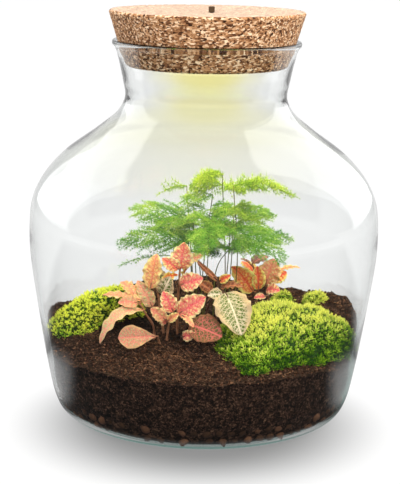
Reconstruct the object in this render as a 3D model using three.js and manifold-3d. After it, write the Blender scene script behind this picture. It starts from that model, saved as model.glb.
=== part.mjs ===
// Planted glass jar with a cork stopper that holds a small lamp.
// Millimetres, +Z up. The origin is the centre of the jar's underside, and -Y is the front.
import * as THREE from "three";
import { mergeVertices } from "three/addons/utils/BufferGeometryUtils.js";
import Module from "manifold-3d";

const wasm = await Module();
wasm.setup();

// Driving dimensions of the jar
const FACETS = 36;
const LAMP_FACETS = 24;
const JAR_RADIUS = 125;
const FOOT_RADIUS = 95;
const RIM_HEIGHT = 266.5;
const FLOOR_THICKNESS = 2.8;
const CLEARANCE = 0.3;
const SLIVER = 0.05;

// The jar's outer and inner faces as [radius, height], from the foot up
const JAR_OUTSIDE = [
  [FOOT_RADIUS, 0],
  [103.2, 3.2],
  [107.4, 11],
  [113, 36],
  [119.9, 80],
  [124.2, 112],
  [JAR_RADIUS, 130],
  [123, 153],
  [115.5, 169.5],
  [101, 186],
  [76, 204.5],
  [61.6, 217],
  [57.2, 227],
  [58.7, 238],
  [64.3, 261],
  [66.3, 263.4],
  [66.2, 265.8],
  [64.8, RIM_HEIGHT],
];
const JAR_INSIDE = [
  [92, FLOOR_THICKNESS],
  [99.6, 4.6],
  [103.6, 9],
  [106.2, 16],
  [109.9, 36],
  [117.2, 80],
  [122.2, 126],
  [120, 152.5],
  [112.4, 168],
  [98, 183],
  [73, 202.6],
  [57.6, 216],
  [53.8, 227],
  [63.6, 265.4],
];

// Driving dimensions of the stopper and its lamp
const STOPPER = {
  top: 287,
  bottom: 248.8,
  topRadius: 69.1,
  bottomRadius: 58.1,
  chamfer: 1.2,
};
const LAMP = {
  recessRadius: 33.3,
  recessTop: 272,
  wall: 1.5,
  roof: 2,
  ledge: 260,
  ledgeWidth: 1.5,
  boardThickness: 1.6,
  diffuserThickness: 2.5,
  diodes: 8,
  diodeRing: 21,
  diodeSize: 3,
  diodeHeight: 1,
};
const BATTERY = { width: 40, depth: 30, height: 6, offsetY: 6 };
const STUD = { x: 2.7, y: -25.8, head: 4.2, headHeight: 3.9, stemRadius: 1.3, facets: 10 };
const OVERCUT = 1;

// Driving dimensions of the ground
const PEBBLES = { top: 20, facets: 60, depth: 1.6, rows: [6, 10.5, 15, 20], clearance: 1.2, floorRadius: 91 };
const SOIL = {
  bottom: PEBBLES.top + CLEARANCE,
  nominalTop: 60,
  frontHeight: 57,
  slope: 6 / 110,
  rings: [1, 0.86, 0.7, 0.54, 0.36, 0.18],
};
// Banks, hollows and lumps of the ground: height, then the middle and the size
const BANKS = [
  { height: 13, at: [110, 30, 46] },
  { height: 9, at: [-112, 12, 34] },
  { height: -5, at: [-98, -50, 32] },
  { height: -8, at: [98, -50, 30] },
];
const LUMPS = { broad: 0.9, broadX: 7, broadY: 8, fine: 0.6, fineX: 4.1, fineY: 5.3 };
const ROOT = { depth: 14, straightBelow: 3, straightAbove: 1.5, holeClearance: 0.7, holeFacets: 6 };

// How the moss rises: its tufts and how they turn from ring to ring and sector to sector, how round and how
// full its domes are, and how its rings are spread
const MOSS_FORM = {
  tuft: 1.6,
  ringTurn: 5,
  sectorTurn: 2.4,
  roundness: 3,
  fullness: 0.7,
  ringSpread: 1.25,
  overlap: 1,
  bedDepth: 9,
  clearance: 0.4,
  roomTop: 110,
  leanReach: 50,
};

// Moss cushions: their middle, the points that their edge runs through, height over the soil, how much higher
// they grow towards +x and +y, and how finely they are cut
const MOSS = [
  {
    name: "moss_left",
    middle: [-76, 4],
    edge: [
      [-114, -16], [-104, -25], [-88, -19], [-77, -10], [-69, 4], [-58, 14],
      [-44, 24], [-54, 37], [-74, 31], [-90, 15], [-106, -4],
    ],
    height: 22,
    lean: [0.6, 0.3],
    sides: 24,
    rings: 7,
  },
  {
    name: "moss_right",
    middle: [62, -25],
    edge: [
      [11, -43], [20, -71], [36, -96], [52, -82], [75, -62], [95, -46], [108, -36],
      [111, -18], [97, 0], [78, 13], [50, 23], [22, 10], [10, -14],
    ],
    height: 20,
    lean: [-0.08, 0.15],
    sides: 30,
    rings: 8,
  },
  {
    name: "moss_tuft_middle",
    middle: [61, 48],
    edge: [[69, 48], [61, 56], [53, 49], [61, 41]],
    height: 10,
    lean: [0, 0],
    sides: 8,
    rings: 3,
  },
  {
    name: "moss_tuft_right",
    middle: [86, 36],
    edge: [[96, 38], [86, 44], [77, 36], [86, 29]],
    height: 9,
    lean: [0, 0],
    sides: 10,
    rings: 3,
  },
];

// Leaf blades and stems of the fittonia plants
const BLADE = {
  thickness: 0.9,
  sink: 0.16,
  petioleRadius: 0.8,
  petioleSides: 3,
  stalkEnd: 0.09,
  widest: 0.78,
  fullness: 0.7,
  waves: 2.3,
  waveDepth: 0.05,
  fold: 0.2,
  broad: 14,
  wavePhases: [0.6, 3.1],
};
const STEM = { radius: 1.1, sides: 5, steps: 4 };

// Each leafy stem: its foot on the soil, the points it rises through, and its leaves. A leaf has its base and
// tip, its width, the way its upper face looks, how far it arches, and where along the stem it starts. The
// higher its widest value, the further out it is broadest.
const FACING = [0, -1, 0.35];
const UPWARD = [0, -0.25, 1];
const LEAFY_STEMS = [
  {
    name: "fittonia_left_arching_stem",
    colour: "#D9875A",
    foot: [-34, -24],
    rise: [[-35, -25, 66], [-40, -28, 75], [-44, -28, 82]],
    leaves: [
      { base: [-44, -26, 84], tip: [-71, -24, 87], width: 10, face: UPWARD, arch: 1.5, from: 1 },
      { base: [-46, -32, 84], tip: [-59, -39, 86], width: 9, face: [0.1, -0.8, 0.6], arch: 1.5, from: 0.9 },
      { base: [-42, -32, 79], tip: [-71, -49, 59], width: 11, face: [-0.3, -0.5, 0.8], arch: 11, from: 0.8 },
      { base: [-48, -23, 86], tip: [-59, -10, 93], width: 11, face: [-0.2, 0.1, 1], arch: 2, from: 1 },
    ],
  },
  {
    name: "fittonia_left_tall_stem",
    colour: "#E08A62",
    foot: [-28, -15],
    rise: [[-30, -16, 72], [-32, -17, 86], [-33, -17, 94]],
    leaves: [
      { base: [-37, -22, 92], tip: [-33, -18, 117], width: 14, face: [-0.3, -1, 0.1], arch: 2, from: 0.9 },
      { base: [-36, -19, 78], tip: [-47, -18, 96], width: 11, face: [0.1, -1, 0.4], arch: 2, from: 0.45 },
      { base: [-29, -14, 94], tip: [-18, -10, 98], width: 9, face: UPWARD, arch: 1.5, from: 1 },
      { base: [-31, -10, 92], tip: [-38, 8, 99], width: 12, face: [-0.2, 0.5, 0.9], arch: 2, from: 1 },
    ],
  },
  {
    name: "fittonia_left_crown_stem",
    colour: "#F08A72",
    foot: [-18, -13],
    rise: [[-18, -15, 78], [-17, -17, 96], [-16.5, -18.5, 105]],
    leaves: [
      { base: [-16.5, -20, 106], tip: [-13.5, -23, 127], width: 17, face: FACING, arch: 2, from: 1 },
      { base: [-17.5, -22, 106], tip: [-29, -27, 116], width: 11, face: FACING, arch: 1.5, from: 1 },
      { base: [-12, -19, 111], tip: [0, -20, 117], width: 9, face: [0, -0.7, 0.9], arch: 1, from: 1 },
      { base: [-16, -23, 95], tip: [0, -28, 101], width: 13, face: FACING, arch: 2, from: 0.7 },
      { base: [-15, -9, 92], tip: [-11, 2, 101], width: 10, face: [0, 0.8, 0.7], arch: 1.5, from: 0.6 },
    ],
  },
  {
    name: "fittonia_left_middle_stem",
    colour: "#F07E6C",
    foot: [-25, -26],
    rise: [[-24, -28, 66], [-22, -30, 75]],
    leaves: [
      { base: [-20.5, -34, 79], tip: [-28, -34, 93], width: 12, face: FACING, arch: 1.5, from: 1 },
      { base: [-17, -33, 77], tip: [2, -35, 90], width: 16, face: FACING, arch: 2, from: 1 },
      { base: [-26, -37, 74], tip: [-36, -41, 83], width: 9, face: FACING, arch: 1, from: 0.9 },
      { base: [-24, -40, 74], tip: [-16.5, -42, 80], width: 6, face: FACING, arch: 1, from: 0.9 },
    ],
  },
  {
    name: "fittonia_front_left_stem",
    colour: "#E89C84",
    foot: [-30, -35],
    rise: [[-31, -38, 60]],
    leaves: [
      { base: [-31, -41, 63], tip: [-58, -52, 64.5], width: 17, widest: 2.1, face: FACING, arch: 2, from: 1 },
    ],
  },
  {
    name: "fittonia_front_right_stem",
    colour: "#8A5148",
    foot: [-15, -30],
    rise: [[-13.5, -33, 62], [-11, -36, 69]],
    leaves: [
      { base: [-9, -38, 71], tip: [14, -50, 66], width: 21, widest: 1, face: [0, -1, 0.6], arch: 3, from: 1 },
      { base: [-13.5, -40, 62.5], tip: [-4, -47, 67], width: 8, face: FACING, arch: 1, from: 0.3 },
      { base: [-14, -39, 77.5], tip: [-6, -48, 72], width: 6, face: [0.5, -0.7, 0.6], arch: 1, from: 1 },
    ],
  },
  {
    name: "fittonia_pale_stem",
    colour: "#E6DDB4",
    foot: [2, -17],
    rise: [[3, -19, 74], [8, -23, 87], [12, -27, 91]],
    leaves: [
      { base: [16, -31, 92], tip: [27.2, -55, 69], width: 26, face: [0.1, -0.8, 0.6], arch: 3.5, from: 1 },
      { base: [14, -31, 91], tip: [3.5, -37, 91.5], width: 9, face: [0.1, -0.8, 0.6], arch: 1, from: 1 },
    ],
  },
  {
    name: "fittonia_brown_stem",
    colour: "#7A4E38",
    foot: [10, -4],
    rise: [[10, -5, 76], [10, -5, 86]],
    leaves: [
      { base: [10.5, -5, 93], tip: [-5, -6, 110], width: 5, face: [0.3, -1, 0.5], arch: -2, from: 1 },
      { base: [12, -6, 93], tip: [20, -8, 98], width: 6, face: FACING, arch: 1, from: 1 },
      { base: [13, -8, 89], tip: [29, -11, 91], width: 9, face: UPWARD, arch: 1.5, from: 1 },
      { base: [7, -7, 87], tip: [-3, -9, 93], width: 8, face: FACING, arch: 1, from: 0.9 },
    ],
  },
  {
    name: "fittonia_right_left_stem",
    colour: "#D8703A",
    foot: [41, 36],
    rise: [[41, 35, 72], [40, 34, 84], [38, 33, 94]],
    leaves: [
      { base: [38, 30, 77], tip: [21.5, 25, 97], width: 16, face: [0.1, -1, 0.3], arch: 2, from: 0.4 },
      { base: [37, 33, 98], tip: [49, 38, 103], width: 13, face: UPWARD, arch: 1, from: 1 },
      { base: [36, 32, 97], tip: [28, 29, 103], width: 5, face: UPWARD, arch: 1, from: 1 },
      { base: [42, 31, 78], tip: [40.5, 30, 96], width: 11, face: [0.2, -1, 0.2], arch: 1.5, from: 0.4 },
      { base: [40, 40, 84], tip: [30, 56, 94], width: 13, face: [-0.3, 0.5, 0.9], arch: 2, from: 0.7 },
    ],
  },
  {
    name: "fittonia_right_right_stem",
    colour: "#C87A5A",
    foot: [50, 38],
    rise: [[50, 37, 72], [50, 36.5, 80]],
    leaves: [
      { base: [48, 34, 81], tip: [53, 35, 102], width: 18, face: FACING, arch: 2, from: 1 },
      { base: [56, 37, 88], tip: [74, 39, 92], width: 7, face: UPWARD, arch: 3, from: 1 },
      { base: [48, 29, 78], tip: [58, 25, 79], width: 10, face: [0, -0.8, 0.8], arch: 1.5, from: 0.7 },
      { base: [47, 26, 74], tip: [38.5, 20, 74], width: 6, face: [0, -0.8, 0.8], arch: 1, from: 0.5 },
      { base: [54, 37, 82], tip: [64, 44, 87], width: 9, face: [0.4, -0.6, 0.8], arch: 1.5, from: 1 },
      { base: [50, 42, 82], tip: [50, 58, 90], width: 12, face: [0.1, 0.4, 1], arch: 2, from: 1 },
    ],
  },
];

// The fern: flat feathery fronds of needles. Each has its foot, the points its thin stem rises through, the
// last of which starts the feathered part, its tip, its width, its sideways tilt in degrees and its arch.
const FROND = {
  thickness: 0.7,
  ribHalf: 0.5,
  branchAngle: 56,
  branchSpacing: 9.5,
  teeth: 2,
  needle: 3,
  needleHalf: 0.55,
  stemRadius: 0.55,
  stemSides: 4,
  stemSteps: 6,
  narrow: 12,
  sideDroop: 0.018,
  firstBranch: 2,
  stagger: 0.4,
  taper: 0.75,
  branched: 0.72,
  sunk: 3,
};
const FRONDS = [
  {
    name: "fern_frond_left_low",
    foot: [-7, 10],
    rise: [[-9, 11, 100], [-11, 9, 119]],
    tip: [-60, 0, 118],
    width: 36,
    tilt: -38,
    arch: 7,
  },
  {
    name: "fern_frond_left_high",
    foot: [-4, 17],
    rise: [[-6, 19, 104], [-8, 20, 134]],
    tip: [-54, 23, 142],
    width: 36,
    tilt: -34,
    arch: 5,
  },
  {
    name: "fern_frond_left_back",
    foot: [0, 24],
    rise: [[-3, 26, 100], [-6, 28, 124]],
    tip: [-36, 56, 126],
    width: 32,
    tilt: -24,
    arch: 5,
  },
  {
    name: "fern_frond_front",
    foot: [1, 7],
    rise: [[3, 6, 100], [4, 3, 132]],
    tip: [3, -36, 118],
    width: 38,
    tilt: 10,
    arch: 5,
  },
  {
    name: "fern_frond_right_front",
    foot: [15, 7],
    rise: [[18, 7, 104], [19, 5, 130]],
    tip: [58, -16, 114],
    width: 34,
    tilt: 38,
    arch: 6,
  },
  {
    name: "fern_frond_right_low",
    foot: [8, 14],
    rise: [[9, 14, 92], [13, 14, 106], [22, 15, 117]],
    tip: [64, 24, 121],
    width: 30,
    tilt: 28,
    arch: 5,
  },
  {
    name: "fern_frond_right_back",
    foot: [19, 22],
    rise: [[21, 24, 104], [22, 26, 138]],
    tip: [52, 48, 136],
    width: 32,
    tilt: 30,
    arch: 4,
  },
  {
    name: "fern_frond_top_left",
    foot: [-2, 13],
    rise: [[1, 14, 110], [6, 15, 158]],
    tip: [-20, 8, 150],
    width: 26,
    tilt: -30,
    arch: 5,
  },
  {
    name: "fern_frond_top_middle",
    foot: [17, 17],
    rise: [[16, 18, 110], [13, 18, 166]],
    tip: [2, -22, 168],
    width: 38,
    tilt: 8,
    arch: 3,
  },
  {
    name: "fern_frond_top_right",
    foot: [23, 17],
    rise: [[25, 12, 110], [21, 11, 163]],
    tip: [68, 8, 158],
    width: 28,
    tilt: 26,
    arch: 5,
  },
  {
    name: "fern_sprig_top_left",
    foot: [-6, 23],
    rise: [[-10, 26, 120], [-13, 26, 160]],
    tip: [-34, 18, 157],
    width: 9,
    tilt: -20,
    arch: 2,
  },
  {
    name: "fern_sprig_low_left",
    foot: [-11, 7],
    rise: [[-14, 9, 96], [-24, 2, 111]],
    tip: [-60, -9, 104],
    width: 10,
    tilt: -20,
    arch: 4,
  },
];

// Colours of the pieces
const COLOUR = {
  glass: "#DDE9E6",
  cork: "#C08A5C",
  lampPlastic: "#E9E6DC",
  diffuser: "#FFF3C4",
  board: "#2F6B4A",
  battery: "#5A6A78",
  stud: "#4A3A28",
  soil: "#3A2218",
  pebble: "#8A5A3E",
  moss: "#7DA82F",
  fern: "#6FA52C",
};

// Solids and meshes

// A closed three.js geometry as a solid that can be joined and cut.
function solidOf(geometry) {
  const bare = new THREE.BufferGeometry();
  bare.setAttribute("position", geometry.getAttribute("position"));
  bare.setIndex(geometry.index);
  const merged = mergeVertices(bare, 1e-4);
  return new wasm.Manifold(
    new wasm.Mesh({
      numProp: 3,
      vertProperties: new Float32Array(merged.attributes.position.array),
      triVerts: new Uint32Array(merged.index.array),
    }),
  );
}

// A solid as a three.js geometry.
function geometryOf(solid) {
  const { vertProperties, triVerts } = solid.getMesh();
  const geometry = new THREE.BufferGeometry();
  geometry.setAttribute("position", new THREE.BufferAttribute(vertProperties, 3));
  geometry.setIndex(new THREE.BufferAttribute(triVerts, 1));
  return geometry;
}

// Several solids joined to one.
function joined(solids) {
  return solids.reduce((whole, piece) => whole.add(piece));
}

// A named mesh with its own material. Slivers that joining or cutting left are merged away.
function piece(name, solid, colour, settings = {}) {
  const looks = { color: colour, roughness: 0.8, metalness: 0, ...settings };
  const mesh = new THREE.Mesh(geometryOf(solid.simplify(SLIVER)), new THREE.MeshStandardMaterial(looks));
  mesh.geometry.computeVertexNormals();
  mesh.name = name;
  return mesh;
}

// A solid turned about the upright axis from a [radius, height] profile that starts and ends on the axis.
function turned(profile, facets = FACETS) {
  const points = profile.map(([radius, height]) => new THREE.Vector2(radius, height));
  return new THREE.LatheGeometry(points, facets).rotateX(Math.PI / 2);
}

// Moves every vertex of a geometry to where the function puts it.
function reshape(geometry, place) {
  const position = geometry.getAttribute("position");
  const point = new THREE.Vector3();
  for (let i = 0; i < position.count; i += 1) {
    point.fromBufferAttribute(position, i);
    place(point);
    position.setXYZ(i, point.x, point.y, point.z);
  }
  return geometry;
}

// A round bar along a smooth curve.
function bar(points, radius, sides, steps) {
  const curve = new THREE.CatmullRomCurve3(points.map((p) => new THREE.Vector3(...p)), false, "centripetal");
  const section = new THREE.Shape();
  for (let i = 0; i < sides; i += 1) {
    const angle = (2 * Math.PI * i) / sides;
    const [x, y] = [radius * Math.cos(angle), radius * Math.sin(angle)];
    if (i === 0) section.moveTo(x, y);
    else section.lineTo(x, y);
  }
  section.closePath();
  return new THREE.ExtrudeGeometry(section, { steps, bevelEnabled: false, extrudePath: curve });
}

// Which of the equal sectors round the upright axis a point of a turned shape belongs to.
function sectorOf(point, sectors) {
  const turn = Math.atan2(point.y, point.x) / (2 * Math.PI);
  return Math.round(turn * sectors + 0.25);
}

// Jar, stopper and lamp

// The radius of a [radius, height] profile at a height.
function radiusAt(profile, height) {
  const above = profile.findIndex(([, z]) => z >= height);
  if (above <= 0) return profile[0][0];
  const [r0, z0] = profile[above - 1];
  const [r1, z1] = profile[above];
  return THREE.MathUtils.mapLinear(height, z0, z1, r0, r1);
}

function jar() {
  const outside = [[0, 0], ...JAR_OUTSIDE];
  const inside = [...JAR_INSIDE].reverse();
  return solidOf(turned([...outside, ...inside, [0, FLOOR_THICKNESS]]));
}

// What fills the jar between two heights, a clearance inside its wall, with its top left flat.
function fillProfile(bottom, top, clearance) {
  const between = JAR_INSIDE.filter(([, z]) => z > bottom && z < top);
  const heights = [bottom, ...between.map(([, z]) => z), top];
  return heights.map((z) => [radiusAt(JAR_INSIDE, z) - clearance, z]);
}

function stopper() {
  const { top, bottom, topRadius, bottomRadius, chamfer } = STOPPER;
  const plug = [
    [0, bottom],
    [bottomRadius - chamfer, bottom],
    [bottomRadius, bottom + chamfer],
    [topRadius, top - chamfer],
    [topRadius - chamfer, top],
    [0, top],
  ];
  const below = bottom - OVERCUT;
  const { recessRadius, recessTop } = LAMP;
  const recess = [[0, below], [recessRadius, below], [recessRadius, recessTop], [0, recessTop]];
  return solidOf(turned(plug)).subtract(solidOf(turned(recess, LAMP_FACETS))).subtract(studPassage());
}

// The round passage for the stud's stem through the cork and the housing's roof.
function studPassage() {
  const radius = STUD.stemRadius + CLEARANCE;
  const length = STOPPER.top - LAMP.ledge + 2 * OVERCUT;
  const passage = new THREE.CylinderGeometry(radius, radius, length, STUD.facets).rotateX(Math.PI / 2);
  return solidOf(passage.translate(STUD.x, STUD.y, LAMP.ledge - OVERCUT + length / 2));
}

function lampHousing() {
  const outer = LAMP.recessRadius - CLEARANCE;
  const lower = outer - LAMP.wall;
  const upper = lower - LAMP.ledgeWidth;
  const top = LAMP.recessTop - CLEARANCE;
  const profile = [
    [0, top - LAMP.roof],
    [upper, top - LAMP.roof],
    [upper, LAMP.ledge],
    [lower, LAMP.ledge],
    [lower, STOPPER.bottom],
    [outer, STOPPER.bottom],
    [outer, top],
    [0, top],
  ];
  return solidOf(turned(profile, LAMP_FACETS)).subtract(studPassage());
}

function lampDisc(top, thickness) {
  const radius = LAMP.recessRadius - CLEARANCE - LAMP.wall - CLEARANCE;
  const bottom = top - thickness;
  return solidOf(turned([[0, bottom], [radius, bottom], [radius, top], [0, top]], LAMP_FACETS));
}

// The round board with a ring of diodes on its underside.
function lampBoard() {
  const top = LAMP.ledge - CLEARANCE;
  const underside = top - LAMP.boardThickness;
  const diodes = [];
  for (let i = 0; i < LAMP.diodes; i += 1) {
    const angle = (2 * Math.PI * i) / LAMP.diodes;
    const diode = new THREE.BoxGeometry(LAMP.diodeSize, LAMP.diodeSize, 2 * LAMP.diodeHeight);
    diode.translate(LAMP.diodeRing, 0, underside).rotateZ(angle);
    diodes.push(solidOf(diode));
  }
  return joined([lampDisc(top, LAMP.boardThickness), ...diodes]);
}

function battery() {
  const bottom = LAMP.ledge;
  const box = new THREE.BoxGeometry(BATTERY.width, BATTERY.depth, BATTERY.height);
  return solidOf(box.translate(0, BATTERY.offsetY, bottom + BATTERY.height / 2));
}

function touchStud() {
  const { x, y, head, headHeight, stemRadius, facets } = STUD;
  const headBottom = STOPPER.top + CLEARANCE;
  const length = headBottom + headHeight / 2 - LAMP.ledge;
  const stem = new THREE.CylinderGeometry(stemRadius, stemRadius, length, facets).rotateX(Math.PI / 2);
  stem.translate(x, y, LAMP.ledge + length / 2);
  const cap = new THREE.BoxGeometry(head, head, headHeight).translate(x, y, headBottom + headHeight / 2);
  return joined([solidOf(stem), solidOf(cap)]);
}

// Ground

// A round rise in the ground about a place, 1 at its middle.
function mound(x, y, [cx, cy, size]) {
  return Math.exp(-((x - cx) ** 2 + (y - cy) ** 2) / size ** 2);
}

// The soil's height: low in front, higher behind, banked up at both sides, hollowed at the front corners
// and lumpy.
function soilHeight(x, y) {
  const banks = BANKS.reduce((sum, bank) => sum + bank.height * mound(x, y, bank.at), 0);
  const broad = LUMPS.broad * Math.sin(x / LUMPS.broadX + 1.3) * Math.sin(y / LUMPS.broadY + 0.4);
  const fine = LUMPS.fine * Math.sin(x / LUMPS.fineX - y / LUMPS.fineY);
  return SOIL.frontHeight + SOIL.slope * y + banks + broad + fine;
}

// The soil as one solid whose top is raised by the given amount and which has no stem holes yet.
function soilBody(raised = 0) {
  const sides = fillProfile(SOIL.bottom, SOIL.nominalTop, CLEARANCE);
  const edgeRadius = sides[sides.length - 1][0];
  const rings = SOIL.rings.slice(1).map((part) => [edgeRadius * part, SOIL.nominalTop]);
  const geometry = turned([[0, SOIL.bottom], ...sides, ...rings, [0, SOIL.nominalTop]]);
  reshape(geometry, (p) => {
    if (p.z < SOIL.nominalTop - 1) return;
    const height = soilHeight(p.x, p.y) + raised;
    const reach = Math.hypot(p.x, p.y);
    const wall = radiusAt(JAR_INSIDE, height) - CLEARANCE;
    const pull = reach > edgeRadius - 1 ? wall / reach : 1;
    p.set(p.x * pull, p.y * pull, height);
  });
  return solidOf(geometry);
}

function soil(feet) {
  const holes = feet.map(({ x, y, radius }) => {
    const bottom = soilHeight(x, y) - ROOT.depth - CLEARANCE;
    const length = 2 * ROOT.depth;
    const wide = radius + ROOT.holeClearance;
    const hole = new THREE.CylinderGeometry(wide, wide, length, ROOT.holeFacets).rotateX(Math.PI / 2);
    return solidOf(hole.translate(x, y, bottom + length / 2));
  });
  return soilBody().subtract(joined(holes));
}

// The drainage layer: a flat bed whose side is the outermost pebbles, as staggered rounds.
function drainagePebbles() {
  const { top, facets, depth, rows, clearance, floorRadius } = PEBBLES;
  const bottom = FLOOR_THICKNESS + CLEARANCE;
  const sides = rows.map((z) => [radiusAt(JAR_INSIDE, z) - clearance, z]);
  const geometry = turned([[0, bottom], [floorRadius, bottom], ...sides, [0, top]], facets);
  reshape(geometry, (p) => {
    const reach = Math.hypot(p.x, p.y);
    if (reach <= floorRadius + 1) return;
    const row = rows.findIndex((z) => Math.abs(z - p.z) < 0.1);
    const between = (sectorOf(p, facets) + row) % 2 !== 0;
    const pull = between ? (reach - depth) / reach : 1;
    p.set(p.x * pull, p.y * pull, p.z);
  });
  return solidOf(geometry);
}

// How far from its middle a moss cushion's edge lies in a direction.
function reachTowards(outline, middle, angle) {
  const turnOf = ({ x, y }) => {
    const turn = (Math.atan2(y - middle[1], x - middle[0]) - angle) / (2 * Math.PI);
    return turn - Math.round(turn);
  };
  const distanceOf = ({ x, y }) => Math.hypot(x - middle[0], y - middle[1]);
  for (let i = 0; i < outline.length; i += 1) {
    const [from, to] = [outline[i], outline[(i + 1) % outline.length]];
    const [before, after] = [turnOf(from), turnOf(to)];
    if (before <= 0 && after > 0 && after - before < 0.5) {
      return THREE.MathUtils.mapLinear(0, before, after, distanceOf(from), distanceOf(to));
    }
  }
  return 0;
}

// A moss cushion: a low dome with raised tufts, cut to lie on the soil and stay inside the glass.
function mossCushion(cushion, inside, ground) {
  const { middle, edge, height, lean, sides, rings } = cushion;
  const curve = new THREE.CatmullRomCurve3(edge.map(([x, y]) => new THREE.Vector3(x, y, 0)), true);
  const outline = curve.getPoints(6 * edge.length);
  const steps = [];
  for (let i = 0; i < rings; i += 1) steps.push([1 - (i / rings) ** MOSS_FORM.ringSpread, 1 + i]);
  const geometry = turned([[0, 0], [1, 0], ...steps, [0, 1 + rings]], sides);
  reshape(geometry, (p) => {
    const part = Math.min(1, Math.hypot(p.x, p.y));
    const sector = part > 0.01 ? sectorOf(p, sides) : 0;
    const angle = (2 * Math.PI * sector) / sides;
    const reach = part * reachTowards(outline, middle, angle);
    const [dx, dy] = [reach * Math.cos(angle), reach * Math.sin(angle)];
    const [x, y] = [middle[0] + dx, middle[1] + dy];
    const base = soilHeight(x, y);
    const ring = Math.round(p.z);
    const turn = MOSS_FORM.ringTurn * ring + MOSS_FORM.sectorTurn * sector * sector;
    const raised = ring > 1 ? MOSS_FORM.tuft * Math.sin(turn) : 0;
    const leaning = 1 + (lean[0] * dx + lean[1] * dy) / MOSS_FORM.leanReach;
    const dome = (1 - part ** MOSS_FORM.roundness) ** MOSS_FORM.fullness * leaning;
    const surface = base - MOSS_FORM.overlap + height * dome + raised;
    p.set(x, y, ring === 0 ? base - MOSS_FORM.bedDepth : surface);
  });
  return solidOf(geometry).intersect(inside).subtract(ground);
}

// Plants

// How high an arch of a given height stands at a part of its span.
function bow(height, part) {
  return 4 * height * part * (1 - part);
}

// The blade of a leaf: an oval sheet, pointed at its tip, arched along its rib, folded a little along it,
// waved at its edges and given its thickness. Both faces are split into triangles alike.
function blade(leaf) {
  const { base, tip, width, face, arch, widest = BLADE.widest } = leaf;
  const start = new THREE.Vector3(...base);
  const along = new THREE.Vector3(...tip).sub(start);
  const length = along.length();
  along.normalize();
  const up = new THREE.Vector3(...face);
  up.addScaledVector(along, -up.dot(along)).normalize();
  const across = new THREE.Vector3().crossVectors(up, along);
  const broad = width > BLADE.broad;
  const rows = broad ? 5 : Math.min(4, Math.round(width / 2.5));
  const columns = broad ? 4 : 2;
  const sheet = new THREE.PlaneGeometry(1, 2, rows, columns);
  reshape(sheet, (p) => {
    const u = p.x + 0.5;
    const v = p.y;
    const breadth = Math.sin(Math.PI * u ** widest) ** BLADE.fullness;
    const half = (width / 2) * Math.max(BLADE.stalkEnd, breadth);
    const turn = 2 * Math.PI * BLADE.waves * u + BLADE.wavePhases[v > 0 ? 0 : 1];
    const wave = BLADE.waveDepth * width * Math.sin(turn) * Math.sin(Math.PI * u) * v * v;
    const lift = bow(arch, u) + BLADE.fold * half * v * v + wave;
    p.copy(start).addScaledVector(along, length * u);
    p.addScaledVector(across, half * v).addScaledVector(up, lift);
  });
  return thickened(sheet, rows, columns, up);
}

// A PlaneGeometry sheet given a thickness along one direction and closed all round.
function thickened(sheet, rows, columns, up) {
  const position = sheet.getAttribute("position");
  const count = position.count;
  const points = [];
  for (const side of [0.5, -0.5]) {
    for (let i = 0; i < count; i += 1) {
      const p = new THREE.Vector3().fromBufferAttribute(position, i);
      points.push(...p.addScaledVector(up, side * BLADE.thickness).toArray());
    }
  }
  const faces = Array.from(sheet.index.array);
  const index = [...faces];
  for (let i = 0; i < faces.length; i += 3) {
    index.push(faces[i] + count, faces[i + 2] + count, faces[i + 1] + count);
  }
  for (const [a, b] of borderOf(rows, columns)) {
    index.push(a, a + count, b, b, a + count, b + count);
  }
  const geometry = new THREE.BufferGeometry();
  geometry.setAttribute("position", new THREE.Float32BufferAttribute(points, 3));
  geometry.setIndex(index);
  return geometry;
}

// The edges round a PlaneGeometry grid, in the order that its upper face turns.
function borderOf(rows, columns) {
  const width = rows + 1;
  const last = columns * width;
  const loop = [];
  for (let i = 0; i < rows; i += 1) loop.push(i);
  for (let j = 0; j < columns; j += 1) loop.push(rows + j * width);
  for (let i = rows; i > 0; i -= 1) loop.push(last + i);
  for (let j = columns; j > 0; j -= 1) loop.push(j * width);
  return loop.map((from, i) => [loop[(i + 1) % loop.length], from]);
}

// The points of a stem from its root end, straight up through its hole and on through the points given.
function stemPoints(foot, rise) {
  const [x, y] = foot;
  const ground = soilHeight(x, y);
  const heights = [ground - ROOT.depth, ground - ROOT.straightBelow, ground + ROOT.straightAbove];
  return [...heights.map((z) => [x, y, z]), ...rise];
}

// The point a part of the way along a stem, counted over the points that it rises through.
function alongStem(points, part) {
  const curve = new THREE.CatmullRomCurve3(points.map((p) => new THREE.Vector3(...p)), false, "centripetal");
  const first = 2 / (points.length - 1);
  return curve.getPoint(first + (1 - first) * part);
}

// The stalk of a leaf, from the stem into the blade's underside.
function petiole(leaf, points) {
  const from = alongStem(points, leaf.from);
  const base = new THREE.Vector3(...leaf.base);
  const tip = new THREE.Vector3(...leaf.tip);
  const up = new THREE.Vector3(...leaf.face).normalize();
  const end = base.clone().lerp(tip, BLADE.sink);
  end.addScaledVector(up, bow(leaf.arch, BLADE.sink));
  const route = from.distanceTo(base) > 3 * BLADE.petioleRadius ? [from, base, end] : [from, end];
  return bar(route.map((p) => p.toArray()), BLADE.petioleRadius, BLADE.petioleSides, route.length - 1);
}

function leafyStem(plant) {
  const points = stemPoints(plant.foot, plant.rise);
  const stem = solidOf(bar(points, STEM.radius, STEM.sides, STEM.steps));
  const leaves = plant.leaves.flatMap((leaf) => [solidOf(blade(leaf)), solidOf(petiole(leaf, points))]);
  return joined([stem, ...leaves]);
}

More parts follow.
